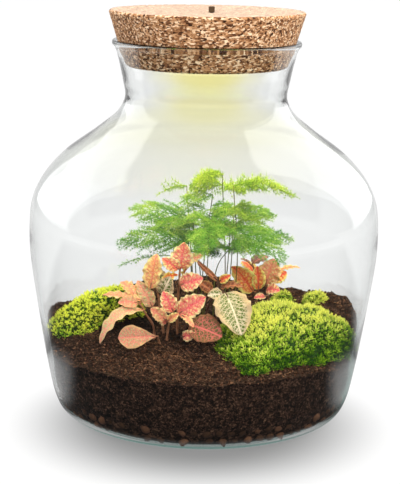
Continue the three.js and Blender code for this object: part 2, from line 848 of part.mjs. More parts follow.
// The outline of one comb of needles, as [along, across] points from its root round its end.
function combOutline(length, teeth, needle, half) {
  const step = length / (teeth + 0.6);
  const [firstRoot, needleBase, forward, shortening] = [0.35, 0.42, 0.75, 0.25];
  const side = [];
  for (let i = 0; i < teeth; i += 1) {
    const root = step * (i + firstRoot);
    const reach = needle * (1 - shortening * (i / teeth));
    side.push([root, half], [root + forward * needle, half + reach], [root + needleBase * step, half]);
  }
  const mirrored = side.map(([a, c]) => [a, -c]).reverse();
  return [...side, [length, 0], ...mirrored];
}

// The flat outline of a frond, as [along, across] points: a rib with combs leaning forward on both sides.
function frondOutline(length, width) {
  const angle = THREE.MathUtils.degToRad(FROND.branchAngle);
  const narrow = width < FROND.narrow;
  const count = narrow ? 0 : Math.max(2, Math.round((length * FROND.branched) / FROND.branchSpacing));
  const rib = FROND.ribHalf;
  const side = (sign) => {
    const points = [[0, rib]];
    for (let i = 0; i < count; i += 1) {
      const at = FROND.firstBranch + (i + (sign > 0 ? 0 : FROND.stagger)) * FROND.branchSpacing;
      const reach = (width / 2 / Math.sin(angle)) * (1 - (FROND.taper * i) / count) - 1;
      for (const [a, c] of combOutline(reach, FROND.teeth, FROND.needle, FROND.needleHalf)) {
        points.push([
          at + a * Math.cos(angle) + c * -Math.sin(angle) + FROND.needleHalf,
          rib + a * Math.sin(angle) + c * Math.cos(angle),
        ]);
      }
    }
    return points.map(([a, c]) => [a, c * sign]);
  };
  const first = FROND.firstBranch + count * FROND.branchSpacing + 1;
  const end = combOutline(length - first, narrow ? 5 : 2, narrow ? width / 2 : FROND.needle, rib);
  const tip = end.map(([a, c]) => [a + first, c]);
  return [...side(1), ...tip, ...side(-1).reverse()];
}

// One frond: its thin stem and its feathered part, tilted, arched and bent to run from the stem to its tip.
function fernFrond(frond) {
  const points = stemPoints(frond.foot, frond.rise);
  const start = new THREE.Vector3(...frond.rise[frond.rise.length - 1]);
  const along = new THREE.Vector3(...frond.tip).sub(start);
  const length = along.length();
  along.normalize();
  const level = new THREE.Vector3().crossVectors(new THREE.Vector3(0, 0, 1), along).normalize();
  const across = level.applyAxisAngle(along, THREE.MathUtils.degToRad(frond.tilt));
  const up = new THREE.Vector3().crossVectors(along, across);
  const outline = frondOutline(length, frond.width).map(([a, c]) => new THREE.Vector2(a, c));
  const flat = new THREE.ExtrudeGeometry(new THREE.Shape(outline), {
    depth: FROND.thickness,
    bevelEnabled: false,
  });
  reshape(flat, (p) => {
    const u = p.x / length;
    const droop = FROND.sideDroop * p.y * p.y;
    const lift = bow(frond.arch, u) - droop + p.z - FROND.thickness / 2;
    const [a, c] = [p.x, p.y];
    p.copy(start).addScaledVector(along, a).addScaledVector(across, c).addScaledVector(up, lift);
  });
  const sunk = start.clone().addScaledVector(along, FROND.sunk);
  sunk.addScaledVector(up, bow(frond.arch, FROND.sunk / length));
  const stem = bar([...points, sunk.toArray()], FROND.stemRadius, FROND.stemSides, FROND.stemSteps);
  return joined([solidOf(stem), solidOf(flat)]);
}

// Assembly

const terrarium = new THREE.Group();
terrarium.name = "planted_jar";

const lampTop = STOPPER.bottom + LAMP.diffuserThickness;
terrarium.add(
  piece("glass_jar", jar(), COLOUR.glass, { roughness: 0.05, transparent: true, opacity: 0.3 }),
  piece("cork_stopper", stopper(), COLOUR.cork, { roughness: 0.9 }),
  piece("lamp_housing", lampHousing(), COLOUR.lampPlastic, { roughness: 0.5 }),
  piece("lamp_diffuser", lampDisc(lampTop, LAMP.diffuserThickness), COLOUR.diffuser, { roughness: 0.4 }),
  piece("lamp_board", lampBoard(), COLOUR.board, { roughness: 0.6 }),
  piece("lamp_battery", battery(), COLOUR.battery, { roughness: 0.4, metalness: 0.3 }),
  piece("lamp_touch_stud", touchStud(), COLOUR.stud, { roughness: 0.6 }),
);

const feet = [
  ...LEAFY_STEMS.map(({ foot: [x, y] }) => ({ x, y, radius: STEM.radius })),
  ...FRONDS.map(({ foot: [x, y] }) => ({ x, y, radius: FROND.stemRadius })),
];
terrarium.add(
  piece("soil", soil(feet), COLOUR.soil, { roughness: 1 }),
  piece("drainage_pebbles", drainagePebbles(), COLOUR.pebble, { roughness: 0.9 }),
);

const ground = soilBody(MOSS_FORM.clearance);
const roomSides = fillProfile(SOIL.bottom, MOSS_FORM.roomTop, MOSS_FORM.clearance);
const insideOfJar = solidOf(turned([[0, SOIL.bottom], ...roomSides, [0, MOSS_FORM.roomTop]]));
for (const cushion of MOSS) {
  const cushionSolid = mossCushion(cushion, insideOfJar, ground);
  terrarium.add(piece(cushion.name, cushionSolid, COLOUR.moss, { roughness: 1 }));
}
for (const plant of LEAFY_STEMS) {
  terrarium.add(piece(plant.name, leafyStem(plant), plant.colour, { roughness: 0.6 }));
}
for (const frond of FRONDS) {
  terrarium.add(piece(frond.name, fernFrond(frond), COLOUR.fern, { roughness: 0.8 }));
}

export default terrarium;
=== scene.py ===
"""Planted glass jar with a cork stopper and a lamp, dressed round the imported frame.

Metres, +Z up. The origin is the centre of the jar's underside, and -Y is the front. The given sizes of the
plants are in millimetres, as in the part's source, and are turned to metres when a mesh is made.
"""
import logging
from dataclasses import dataclass, field
from enum import Enum
from math import copysign, cos, exp, hypot, pi, radians, sin, sqrt

import bmesh
import bpy
import numpy as np
from bpy.types import Material, Node, NodeOutputs as Outputs, NodeSocket as Socket, Object
from mathutils import Matrix, Vector, noise


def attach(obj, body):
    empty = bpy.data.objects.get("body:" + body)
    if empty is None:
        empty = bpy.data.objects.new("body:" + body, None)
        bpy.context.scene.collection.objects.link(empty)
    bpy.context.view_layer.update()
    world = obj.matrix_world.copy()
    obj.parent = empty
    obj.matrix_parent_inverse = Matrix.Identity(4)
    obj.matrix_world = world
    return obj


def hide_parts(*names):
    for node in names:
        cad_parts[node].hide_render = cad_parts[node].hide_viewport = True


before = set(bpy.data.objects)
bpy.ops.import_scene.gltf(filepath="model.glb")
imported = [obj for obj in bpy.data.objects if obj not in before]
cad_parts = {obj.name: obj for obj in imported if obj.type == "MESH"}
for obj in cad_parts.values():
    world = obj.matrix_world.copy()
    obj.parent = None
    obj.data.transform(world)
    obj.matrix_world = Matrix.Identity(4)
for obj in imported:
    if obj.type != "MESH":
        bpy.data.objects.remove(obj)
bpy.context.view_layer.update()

MM = 0.001

# Which output of a mix node gives a vector or a colour, and which of a random value node gives a number
RESULT_VECTOR, RESULT_COLOR, VALUE_001 = 1, 2, 1
log = logging.getLogger("terrarium")

# The jar's outer and inner faces as [radius, height] in millimetres, from the foot up
JAR_OUTSIDE = [
    (95, 0), (103.2, 3.2), (107.4, 11), (113, 36), (119.9, 80), (124.2, 112), (125, 130), (123, 153),
    (115.5, 169.5), (101, 186), (76, 204.5), (61.6, 217), (57.2, 227), (58.7, 238), (64.3, 261),
    (66.3, 263.4), (66.2, 265.8), (64.8, 266.5),
]
JAR_INSIDE = [
    (92.5, 2.0), (100, 3.7), (103.9, 8.4), (106.2, 16), (109.9, 36), (117.2, 80), (122.2, 126), (120, 152.5),
    (112.4, 168), (98, 183), (73, 202.6), (58.6, 215), (54.6, 222), (53.9, 229), (55.6, 237), (63.6, 265.4),
]
PEBBLE_TOP = 20.0
SOIL_BOTTOM = 20.3
STEM_ROOT = 14.0

# The hollows, the middle tone and the dry crumbs of the soil
PEAT = ("#120A06", "#38251D", "#7E5E4A")


# Colour, nodes and meshes


def linear(colour: str) -> tuple[float, float, float, float]:
    """Turns an sRGB hex colour into linear values.

    Args:
        colour: The colour as "#RRGGBB".

    Returns:
        Linear red, green, blue and an alpha of 1.
    """
    parts = [int(colour[i:i + 2], 16) / 255 for i in (1, 3, 5)]
    low = [part / 12.92 for part in parts]
    high = [((part + 0.055) / 1.055) ** 2.4 for part in parts]
    red, green, blue = (l if part <= 0.04045 else h for part, l, h in zip(parts, low, high))
    return red, green, blue, 1.0


def add_node(tree: bpy.types.NodeTree, kind: str, settings: dict | None = None,
             inputs: dict | None = None) -> Node:
    """Adds a node with its settings and links.

    Args:
        tree: The shader or geometry tree.
        kind: The node's type name.
        settings: Properties to set. "stops" holds a colour ramp's (position, hex colour) pairs.
        inputs: Socket identifiers, names or numbers, each with a value or with a socket to link from.

    Returns:
        The new node.
    """
    node = tree.nodes.new(kind)
    for name, value in (settings or {}).items():
        if name == "stops":
            ramp = node.color_ramp
            while len(ramp.elements) < len(value):
                ramp.elements.new(1.0)
            for element, (position, colour) in zip(ramp.elements, value):
                element.position = position
                element.color = linear(colour)
        else:
            setattr(node, name, value)
    for key, value in (inputs or {}).items():
        socket = node.inputs[key] if isinstance(key, int) else next(
            (s for s in node.inputs if s.identifier == key), None) or node.inputs[key]
        for source in value if isinstance(value, list) else [value]:
            if isinstance(source, Socket):
                tree.links.new(source, socket)
            else:
                socket.default_value = source
    return node


def catmull(points: list[tuple], steps: int) -> np.ndarray:
    """Runs a smooth curve through points.

    Args:
        points: The points, of any dimension.
        steps: How many pieces each span is split into.

    Returns:
        The points of the curve, ends included.
    """
    p = np.array(points, float)
    padded = np.vstack([2 * p[0] - p[1], p, 2 * p[-1] - p[-2]])
    curve = []
    for i in range(1, len(padded) - 2):
        ends = padded[i - 1:i + 3]
        knots = [0.0]
        for start, end in zip(ends, ends[1:]):
            knots.append(knots[-1] + max(1e-6, np.linalg.norm(end - start)) ** 0.5)
        for t in np.linspace(knots[1], knots[2], steps, endpoint=False):
            row = ends
            for spans in (((0, 1), (1, 2), (2, 3)), ((0, 2), (1, 3)), ((1, 2),)):
                row = [a + (b - a) * (t - knots[j]) / (knots[k] - knots[j])
                       for a, b, (j, k) in zip(row, row[1:], spans)]
            curve.append(row[0])
    curve.append(p[-1])
    return np.array(curve)


def densified(profile: list[tuple], step: float) -> np.ndarray:
    """Splits the straight lines of a profile so that no piece is much longer than a step.

    Args:
        profile: The [radius, height] points.
        step: The longest piece, in millimetres.

    Returns:
        The finer profile.
    """
    points = [np.array(profile[0], float)]
    for end in profile[1:]:
        start, end = points[-1], np.array(end, float)
        count = max(1, round(np.linalg.norm(end - start) / step))
        points += [start + (end - start) * i / count for i in range(1, count + 1)]
    return np.array(points)


def linked(name: str, data: bpy.types.ID) -> Object:
    """A new object with its data, linked to the scene."""
    piece = bpy.data.objects.new(name, data)
    bpy.context.scene.collection.objects.link(piece)
    return piece


@dataclass
class Shape:
    """Vertices in millimetres with their faces and named values, gathered before a mesh is made."""

    vertices: list = field(default_factory=list)
    faces: list = field(default_factory=list)
    values: dict = field(default_factory=dict)
    slots: list = field(default_factory=list)

    def add(self, vertices: np.ndarray, faces: list, slot: int = 0, **values: np.ndarray) -> None:
        """Adds a closed or open surface.

        Args:
            vertices: Its points, one a row.
            faces: Its faces, as numbers of its own points.
            slot: Which of the piece's materials it takes.
            **values: A number or a vector for each point, by attribute name.
        """
        first = len(self.vertices)
        self.vertices += [tuple(v) for v in np.asarray(vertices, float)]
        self.faces += [tuple(first + i for i in face) for face in faces]
        self.slots += [slot] * len(faces)
        for name, value in values.items():
            self.values.setdefault(name, []).extend(np.asarray(value, float).tolist())

    def mesh(self, name: str, *finishes: Material, smooth: bool = True,
             edges: list | None = None) -> Object:
        """Makes the object, linked to the scene, with its vertices in metres.

        Args:
            name: The object's name.
            *finishes: Its materials, by slot.
            smooth: Whether its faces are shaded smoothly.
            edges: Its lines, for a mesh without faces.

        Returns:
            The object.
        """
        mesh = bpy.data.meshes.new(name)
        mesh.from_pydata((np.array(self.vertices) * MM).tolist(), edges or [], self.faces)
        for key, value in self.values.items():
            data = np.array(value, np.float32)
            kind, prop = ("FLOAT_VECTOR", "vector") if data.ndim == 2 else ("FLOAT", "value")
            mesh.attributes.new(key, kind, "POINT").data.foreach_set(prop, data.ravel())
        if self.faces:
            mesh.polygons.foreach_set("material_index", self.slots)
            mesh.polygons.foreach_set("use_smooth", [smooth] * len(self.faces))
        for finish in finishes:
            mesh.materials.append(finish)
        mesh.update()
        return linked(name, mesh)


def skin_faces(rows: int, around: int) -> list[tuple]:
    """The faces of a skin of closed rows of points, shut by a pole at each end.

    Args:
        rows: How many rows there are. The lower and the upper pole follow them among the points.
        around: How many points each row has.

    Returns:
        The faces.
    """
    low, high, last = rows * around, rows * around + 1, (rows - 1) * around
    faces = []
    for j in range(around):
        k = (j + 1) % around
        faces += [(low, k, j), (last + j, last + k, high)]
        faces += [(a + j, a + k, a + around + k, a + around + j) for a in range(0, last, around)]
    return faces


def turned(profile: np.ndarray, sectors: int) -> tuple[np.ndarray, list]:
    """Turns a [radius, height] profile that starts and ends on the axis into a closed surface.

    Args:
        profile: The profile, walked so that the solid is on its left.
        sectors: How many sectors the turn has.

    Returns:
        The points and the faces.
    """
    angles = np.arange(sectors) * 2 * pi / sectors
    inner = profile[1:-1]
    rings = [np.column_stack([r * np.cos(angles), r * np.sin(angles), np.full(sectors, z)]) for r, z in inner]
    poles = np.array([[0, 0, profile[0][1]], [0, 0, profile[-1][1]]])
    return np.vstack([*rings, poles]), skin_faces(len(inner), sectors)


def turned_piece(name: str, profile: np.ndarray, sectors: int, finish: Material,
                 smooth: bool = True) -> Object:
    """Makes an object of one turned surface and one finish."""
    shape = Shape()
    shape.add(*turned(profile, sectors))
    return shape.mesh(name, finish, smooth=smooth)


def tube(points: np.ndarray, radii: np.ndarray, sides: int) -> tuple[np.ndarray, list]:
    """A closed tube along a line of points, with its own radius at each.

    Args:
        points: The line.
        radii: The tube's radius at each point.
        sides: How many sides it has.

    Returns:
        The points and the faces.
    """
    points = np.asarray(points, float)
    tangents = np.gradient(points, axis=0)
    tangents /= np.linalg.norm(tangents, axis=1)[:, None]
    guide = np.array([1.0, 0, 0]) if abs(tangents[0][0]) < 0.8 else np.array([0, 1.0, 0])
    rows = []
    for point, tangent, radius in zip(points, tangents, radii):
        guide = guide - tangent * guide.dot(tangent)
        guide /= np.linalg.norm(guide)
        side = np.cross(tangent, guide)
        turn = np.arange(sides)[:, None] * 2 * pi / sides
        rows.append(point + radius * (np.cos(turn) * guide + np.sin(turn) * side))
    vertices = np.vstack(rows)
    faces = [tuple(range(sides - 1, -1, -1))]
    for i in range(len(points) - 1):
        for j in range(sides):
            k = (j + 1) % sides
            faces.append((i * sides + j, i * sides + k, (i + 1) * sides + k, (i + 1) * sides + j))
    faces.append(tuple(range((len(points) - 1) * sides, len(points) * sides)))
    return vertices, faces


def polar(reach: float, angle: float, height: float = 0.0) -> tuple[float, float, float]:
    """A point from its distance from the axis, its angle and its height."""
    return reach * cos(angle), reach * sin(angle), height


def crumpled(point: np.ndarray, grain: float) -> float:
    """Smooth noise from about -1 to 1 whose lumps are a grain wide, in millimetres."""
    return noise.noise(Vector(point) / grain)


def radius_at(profile: list[tuple], height: float) -> float:
    """The radius of a [radius, height] profile at a height."""
    return float(np.interp(height, [z for _, z in profile], [r for r, _ in profile]))


# Node trees


class NodeTree:
    """A node tree under way, with short ways to add the nodes that are used again and again."""

    def __init__(self, tree: bpy.types.NodeTree) -> None:
        """Takes the tree that the nodes go into."""
        self.tree = tree

    def add(self, kind: str, settings: dict | None = None, inputs: dict | None = None) -> Node:
        """Adds a node."""
        return add_node(self.tree, kind, settings, inputs)

    def out(self, kind: str, settings: dict | None = None, inputs: dict | None = None,
            output: int | str = 0) -> Socket:
        """Adds a node and returns one of its outputs."""
        return self.add(kind, settings, inputs).outputs[output]

    def math(self, operation: str, *values: object) -> Socket:
        """Reckons with numbers."""
        return self.out("ShaderNodeMath", {"operation": operation}, dict(enumerate(values)))

    def product(self, first: object, *others: object) -> Socket:
        """Multiplies numbers, one after another."""
        for other in others:
            first = self.math("MULTIPLY", first, other)
        return first

    def vector(self, operation: str, *values: object) -> Socket:
        """Reckons with vectors. A distance or a length is a number."""
        output = "Value" if operation in ("DISTANCE", "LENGTH") else "Vector"
        return self.out("ShaderNodeVectorMath", {"operation": operation}, dict(enumerate(values)), output)

    def split(self, vector: Socket) -> Outputs:
        """The X, Y and Z of a vector."""
        return self.add("ShaderNodeSeparateXYZ", inputs={0: vector}).outputs

    def led(self, value: object, start: object, end: object, low: object = 0.0, high: object = 1.0,
            smooth: bool = True) -> Socket:
        """Leads a number from one range to another and holds it at the ends.

        Args:
            value: The number.
            start: Its value where the result is low.
            end: Its value where the result is high.
            low: The result at the start.
            high: The result at the end.
            smooth: Whether both ends are eased.

        Returns:
            The result.
        """
        return self.out("ShaderNodeMapRange", {"interpolation_type": "SMOOTHSTEP" if smooth else "LINEAR"}, {
            "Value": value, "From Min": start, "From Max": end, "To Min": low, "To Max": high})


class GeometryTree(NodeTree):
    """A geometry tree with named inputs, run on one object to make a plain mesh."""

    def __init__(self, name: str) -> None:
        """Starts the tree with its geometry going in and out.

        Args:
            name: What the tree makes.
        """
        super().__init__(bpy.data.node_groups.new(name, "GeometryNodeTree"))
        for way in ("INPUT", "OUTPUT"):
            self.tree.interface.new_socket("Geometry", in_out=way, socket_type="NodeSocketGeometry")
        self.entry = self.add("NodeGroupInput")

    def entries(self, **kinds: str) -> list[Socket]:
        """Adds named inputs and returns the sockets that give their values.

        Args:
            **kinds: The kind of each input, by its name with underlines for spaces.

        Returns:
            The sockets, in the same order.
        """
        names = [key.replace("_", " ").capitalize() for key in kinds]
        for name, kind in zip(names, kinds.values()):
            self.tree.interface.new_socket(name, in_out="INPUT", socket_type="NodeSocket" + kind)
        return [self.entry.outputs[name] for name in names]

    def random(self, low: object, high: object, seed: Socket) -> Socket:
        """A random number for each point."""
        return self.out("FunctionNodeRandomValue", {"data_type": "FLOAT"},
                        {"Min_001": low, "Max_001": high, "Seed": seed}, VALUE_001)

    def random_turn(self, low: object, high: object, seed: Socket) -> Socket:
        """A random rotation for each point, between two sets of angles."""
        angles = self.out("FunctionNodeRandomValue", {"data_type": "FLOAT_VECTOR"},
                          {"Min": low, "Max": high, "Seed": seed}, "Value")
        return self.out("FunctionNodeEulerToRotation", inputs={"Euler": angles})

    def turned_on(self, rotation: Socket, more: Socket) -> Socket:
        """A rotation followed by another about its own axes."""
        return self.out("FunctionNodeRotateRotation", {"rotation_space": "LOCAL"},
                        {"Rotation": rotation, "Rotate By": more})

    def above(self, value: Socket, limit: object) -> Socket:
        """Whether a number is above a limit."""
        return self.out("FunctionNodeCompare", {"data_type": "FLOAT", "operation": "GREATER_THAN"},
                        {"A": value, "B": limit})

    def stood(self, points: Socket, shapes: Socket, rotation: Socket, size: Socket, seed: Socket,
              finish: Socket) -> Socket:
        """Stands one of several shapes at each point, as real faces with a finish and a tone of their own.

        Args:
            points: Where the shapes stand.
            shapes: The collection that they are picked from.
            rotation: How each is turned.
            size: How large each is.
            seed: The seed of their tones.
            finish: Their material.

        Returns:
            The dressed geometry.
        """
        choice = self.out("GeometryNodeCollectionInfo", inputs={
            "Collection": shapes, "Separate Children": True, "Reset Children": True})
        placed = self.out("GeometryNodeInstanceOnPoints", inputs={
            "Points": points, "Instance": choice, "Pick Instance": True, "Rotation": rotation, "Scale": size})
        toned = self.out("GeometryNodeStoreNamedAttribute", {"data_type": "FLOAT", "domain": "INSTANCE"}, {
            "Geometry": placed, "Name": "tone", "Value": self.random(0.0, 1.0, seed)})
        real = self.out("GeometryNodeRealizeInstances", inputs={"Geometry": toned})
        return self.out("GeometryNodeSetMaterial", inputs={"Geometry": real, "Material": finish})

    def joined(self, *geometries: Socket) -> Socket:
        """Several geometries as one."""
        return self.out("GeometryNodeJoinGeometry", inputs={"Geometry": list(geometries)})

    def finish(self, geometry: Socket) -> "GeometryTree":
        """Leads a geometry to the tree's output."""
        self.add("NodeGroupOutput", inputs={"Geometry": geometry})
        return self

    def grow(self, host: Object, name: str, **values: object) -> Object:
        """Runs the tree on an object and replaces that object with the plain mesh.

        Args:
            host: The object to grow on. It is removed.
            name: The new piece's name.
            **values: The inputs, with their spaces as underlines.

        Returns:
            The new piece.
        """
        modifier = host.modifiers.new("grow", "NODES")
        modifier.node_group = self.tree
        for item in self.tree.interface.items_tree:
            key = item.name.lower().replace(" ", "_")
            if item.in_out == "INPUT" and key in values:
                modifier[item.identifier] = values[key]
        depsgraph = bpy.context.evaluated_depsgraph_get()
        mesh = bpy.data.meshes.new_from_object(
            host.evaluated_get(depsgraph), preserve_all_data_layers=True, depsgraph=depsgraph)
        host.modifiers.remove(modifier)
        bpy.data.objects.remove(host)
        mesh.name = name
        return linked(name, mesh)


def scatter_tree() -> GeometryTree:
    """Stands small shapes all over a surface, at least a spacing apart, and keeps the surface under them."""
    tree = GeometryTree("small shapes on a surface")
    shapes, spacing, smallest, largest, upright, wobble, least_rise, seed, finish = tree.entries(
        shapes="Collection", spacing="Float", smallest="Float", largest="Float", upright="Float",
        wobble="Float", least_rise="Float", seed="Int", finish="Material")
    surface = tree.entry.outputs["Geometry"]
    rise = tree.split(tree.out("GeometryNodeInputNormal"))["Z"]
    # More points are thrown than fit, and those that stand too close are thinned out
    thrown = tree.math("DIVIDE", tree.math("DIVIDE", 2.0, spacing), spacing)
    spread = tree.add("GeometryNodeDistributePointsOnFaces", {"distribute_method": "POISSON"}, {
        "Mesh": surface, "Selection": tree.above(rise, least_rise), "Distance Min": spacing,
        "Density Max": thrown, "Seed": seed}).outputs
    lean = tree.out("ShaderNodeMix", {"data_type": "VECTOR"}, {
        "Factor_Float": upright, "A_Vector": spread["Normal"], "B_Vector": (0.0, 0.0, 1.0)}, RESULT_VECTOR)
    aligned = tree.out("FunctionNodeAlignRotationToVector", {"axis": "Z"}, {"Vector": lean})
    less = tree.math("MULTIPLY", wobble, -1.0)
    low, high = (tree.out("ShaderNodeCombineXYZ", inputs={"X": tilt, "Y": tilt, "Z": turn})
                 for tilt, turn in ((less, -pi), (wobble, pi)))
    rotation = tree.turned_on(aligned, tree.random_turn(low, high, seed))
    size = tree.random(smallest, largest, seed)
    return tree.finish(tree.joined(
        tree.stood(spread["Points"], shapes, rotation, size, seed, finish), surface))


def bed_tree() -> GeometryTree:
    """Lays one pebble at each point of a mesh, turned and sized at random."""
    tree = GeometryTree("pebbles in a bed")
    shapes, smallest, largest, seed, finish = tree.entries(
        shapes="Collection", smallest="Float", largest="Float", seed="Int", finish="Material")
    rotation = tree.random_turn((-pi,) * 3, (pi,) * 3, seed)
    size = tree.random(smallest, largest, seed)
    return tree.finish(tree.stood(tree.entry.outputs["Geometry"], shapes, rotation, size, seed, finish))


def twig_tree() -> GeometryTree:
    """Gives lines a round body and sets tufts of needles along those that bear them."""
    tree = GeometryTree("needles along twigs")
    tuft, spacing, smallest, largest, seed, finish = tree.entries(
        tuft="Object", spacing="Float", smallest="Float", largest="Float", seed="Int", finish="Material")
    source = tree.entry.outputs["Geometry"]
    thick, bears = (
        tree.out("GeometryNodeInputNamedAttribute", {"data_type": "FLOAT"}, {"Name": name}, "Attribute")
        for name in ("thick", "bears"))
    lines = tree.out("GeometryNodeMeshToCurve", inputs={"Mesh": source})
    ring = tree.out("GeometryNodeCurvePrimitiveCircle", inputs={"Resolution": 4, "Radius": 1.0})
    body = tree.out("GeometryNodeCurveToMesh", inputs={
        "Curve": lines, "Profile Curve": ring, "Scale": thick, "Fill Caps": True})
    twigs = tree.out("GeometryNodeSeparateGeometry", {"domain": "POINT"},
                     {"Geometry": source, "Selection": tree.above(bears, 0.5)}, "Selection")
    twig_lines = tree.out("GeometryNodeMeshToCurve", inputs={"Mesh": twigs})
    along = tree.add("GeometryNodeCurveToPoints", {"mode": "LENGTH"},
                     {"Curve": twig_lines, "Length": spacing}).outputs
    spin = tree.out("FunctionNodeAxisAngleToRotation", inputs={
        "Axis": (0.0, 0.0, 1.0), "Angle": tree.random(-pi, pi, seed)})
    needle = tree.out("GeometryNodeObjectInfo", inputs={"Object": tuft}, output="Geometry")
    set_out = tree.out("GeometryNodeInstanceOnPoints", inputs={
        "Points": along["Points"], "Instance": needle, "Rotation": tree.turned_on(along["Rotation"], spin),
        "Scale": tree.random(smallest, largest, seed)})
    real = tree.out("GeometryNodeRealizeInstances", inputs={"Geometry": set_out})
    return tree.finish(tree.out("GeometryNodeSetMaterial", inputs={
        "Geometry": tree.joined(real, body), "Material": finish}))


# Finishes


def grains(size: float) -> float:
    """The scale of a pattern whose grains are a size across, in millimetres, on coordinates in metres."""
    return 1000 / size


class Surface(NodeTree):
    """A material under way: its principled shader and the coordinates of its piece."""

    def __init__(self, name: str, roughness: float, **sockets: object) -> None:
        """Starts a material.

        Args:
            name: The real finish that it stands for.
            roughness: The shader's roughness.
            **sockets: Other values of the shader, their spaces as underlines.
        """
        self.material = bpy.data.materials.new(name)
        self.material.use_nodes = True
        super().__init__(self.material.node_tree)
        self.tree.nodes.clear()
        self.shader = self.add("ShaderNodeBsdfPrincipled", inputs={"Roughness": roughness})
        self.set(**sockets)
        self.output = self.add("ShaderNodeOutputMaterial", inputs={"Surface": self.shader.outputs[0]})
        self.place = self.out("ShaderNodeTexCoord", output="Object")

    def set(self, **sockets: object) -> None:
        """Sets or links inputs of the shader.

        Args:
            **sockets: A value or a socket for each input, its spaces as underlines.
        """
        for key, value in sockets.items():
            socket = self.shader.inputs[key.replace("_", " ")]
            if isinstance(value, Socket):
                self.tree.links.new(value, socket)
            else:
                socket.default_value = value

    def relief(self, height: Socket, depth: float, strength: float = 1.0) -> None:
        """Gives the surface a relief of a depth in millimetres from a height of 0 to 1."""
        self.set(Normal=self.out("ShaderNodeBump", inputs={
            "Strength": strength, "Distance": depth * MM, "Height": height}))

    def covered(self, part: object, other: Socket) -> None:
        """Lays another shader over the principled one, as far as a part of 0 to 1."""
        mix = self.out("ShaderNodeMixShader", inputs={0: part, 1: self.shader.outputs[0], 2: other})
        self.tree.links.new(mix, self.output.inputs["Surface"])

    def see_through(self, part: float, colour: Socket) -> None:
        """Lets some light through a thin piece, in its own colour."""
        self.covered(part, self.out("ShaderNodeBsdfTranslucent", inputs={"Color": colour}))

    def noise(self, scale: float, detail: float = 2.0, roughness: float = 0.5, place: Socket | None = None,
              distortion: float = 0.0, output: str = "Fac") -> Socket:
        """Cloudy noise of a scale, on the piece's own place unless another is given."""
        return self.out("ShaderNodeTexNoise", inputs={
            "Vector": place or self.place, "Scale": scale, "Detail": detail, "Roughness": roughness,
            "Distortion": distortion}, output=output)

    def cells(self, scale: float, place: Socket | None = None) -> Outputs:
        """Cells of a scale, each with a distance from its middle and a random colour."""
        return self.add("ShaderNodeTexVoronoi", inputs={
            "Vector": place or self.place, "Scale": scale}).outputs

    def channels(self, colour: Socket) -> Outputs:
        """A colour's red, green and blue."""
        return self.add("ShaderNodeSeparateColor", inputs={0: colour}).outputs

    def tones(self, value: Socket, *stops: tuple) -> Socket:
        """A colour from a number, by (number, hex colour) stops."""
        return self.out("ShaderNodeValToRGB", {"stops": list(stops)}, {"Fac": value})

    def shaded(self, colour: object, value: Socket) -> Socket:
        """A colour made lighter or darker."""
        return self.out("ShaderNodeHueSaturation", inputs={"Color": colour, "Value": value})

    def mixed(self, part: object, first: object, second: object) -> Socket:
        """A mix of two colours."""
        return self.out("ShaderNodeMix", {"data_type": "RGBA"}, {
            "Factor_Float": part, "A_Color": first, "B_Color": second}, RESULT_COLOR)

    def attribute(self, name: str, output: str = "Fac") -> Socket:
        """A value that the mesh carries at its points."""
        return self.out("ShaderNodeAttribute", {"attribute_name": name}, output=output)


@dataclass(frozen=True)
class BlownGlass:
    """Clear soda-lime glass, blown and fire-polished: hard reflections, and sea green round the thick foot
    and low down on its right side.

    Places are in metres. A pair says where a tint is nothing and where it is full. The painted glow is lamp
    light painted into the glass's colour below the cork.
    """

    ior: float = 1.5
    clear: tuple = (0.972, 0.972, 0.972, 1)
    shadow_tint: str = "#F6FBF9"
    depth_colour: str = "#8FBCAE"
    density: float = 11.0
    deep_tint: str = "#3E7C6E"
    deep_height: tuple = (0.095, 0.03)
    tint_side: tuple = (0.03, 0.1)
    deep_grazing: tuple = (0.5, 0.9)
    foot_height: tuple = (0.0034, 0.002)
    painted_glow_tint: tuple = (0.97, 0.93, 0.6, 1)
    glow_rise: tuple = (0.17, 0.212)
    painted_glow_end: tuple = (0.252, 0.247)
    painted_glow_narrows: tuple = (0.206, 0.224, 0.46, 0.17)
    painted_glow_full: float = 0.02

    def material(self) -> Material:
        """The glass, which lets lamp light through to what it holds and has lamp light painted into its
        colour near the lamp.
        """
        skin = Surface("blown soda-lime glass", 0.0, IOR=self.ior, Transmission_Weight=1.0)
        place = skin.split(skin.place)
        grazing = skin.out("ShaderNodeLayerWeight", inputs={"Blend": 0.5}, output="Facing")
        # Sea green low down, on the right side (+X) only, and where the wall is seen edge-on
        deep = skin.product(
            skin.led(place["Z"], *self.deep_height), skin.led(place["X"], *self.tint_side),
            skin.led(grazing, *self.deep_grazing))
        foot = skin.led(place["Z"], *self.foot_height)
        tint = skin.mixed(skin.math("MAXIMUM", deep, foot), self.clear, linear(self.deep_tint))
        # Painted light: a warm glow of the lamp painted into the glass's colour from the shoulder up to the
        # cork, strongest where the wall faces the viewer and narrower in the neck
        width = skin.led(place["Z"], *self.painted_glow_narrows, smooth=False)
        glow = skin.product(
            skin.led(place["Z"], *self.glow_rise, smooth=False), skin.led(place["Z"], *self.painted_glow_end),
            skin.led(grazing, width, self.painted_glow_full))
        skin.set(Base_Color=skin.mixed(glow, tint, self.painted_glow_tint))
        skin.covered(skin.out("ShaderNodeLightPath", output="Is Shadow Ray"),
                     skin.out("ShaderNodeBsdfTransparent", inputs={"Color": linear(self.shadow_tint)}))
        depth = skin.out("ShaderNodeVolumeAbsorption", inputs={
            "Color": linear(self.depth_colour), "Density": self.density})
        skin.tree.links.new(depth, skin.output.inputs["Volume"])
        return skin.material


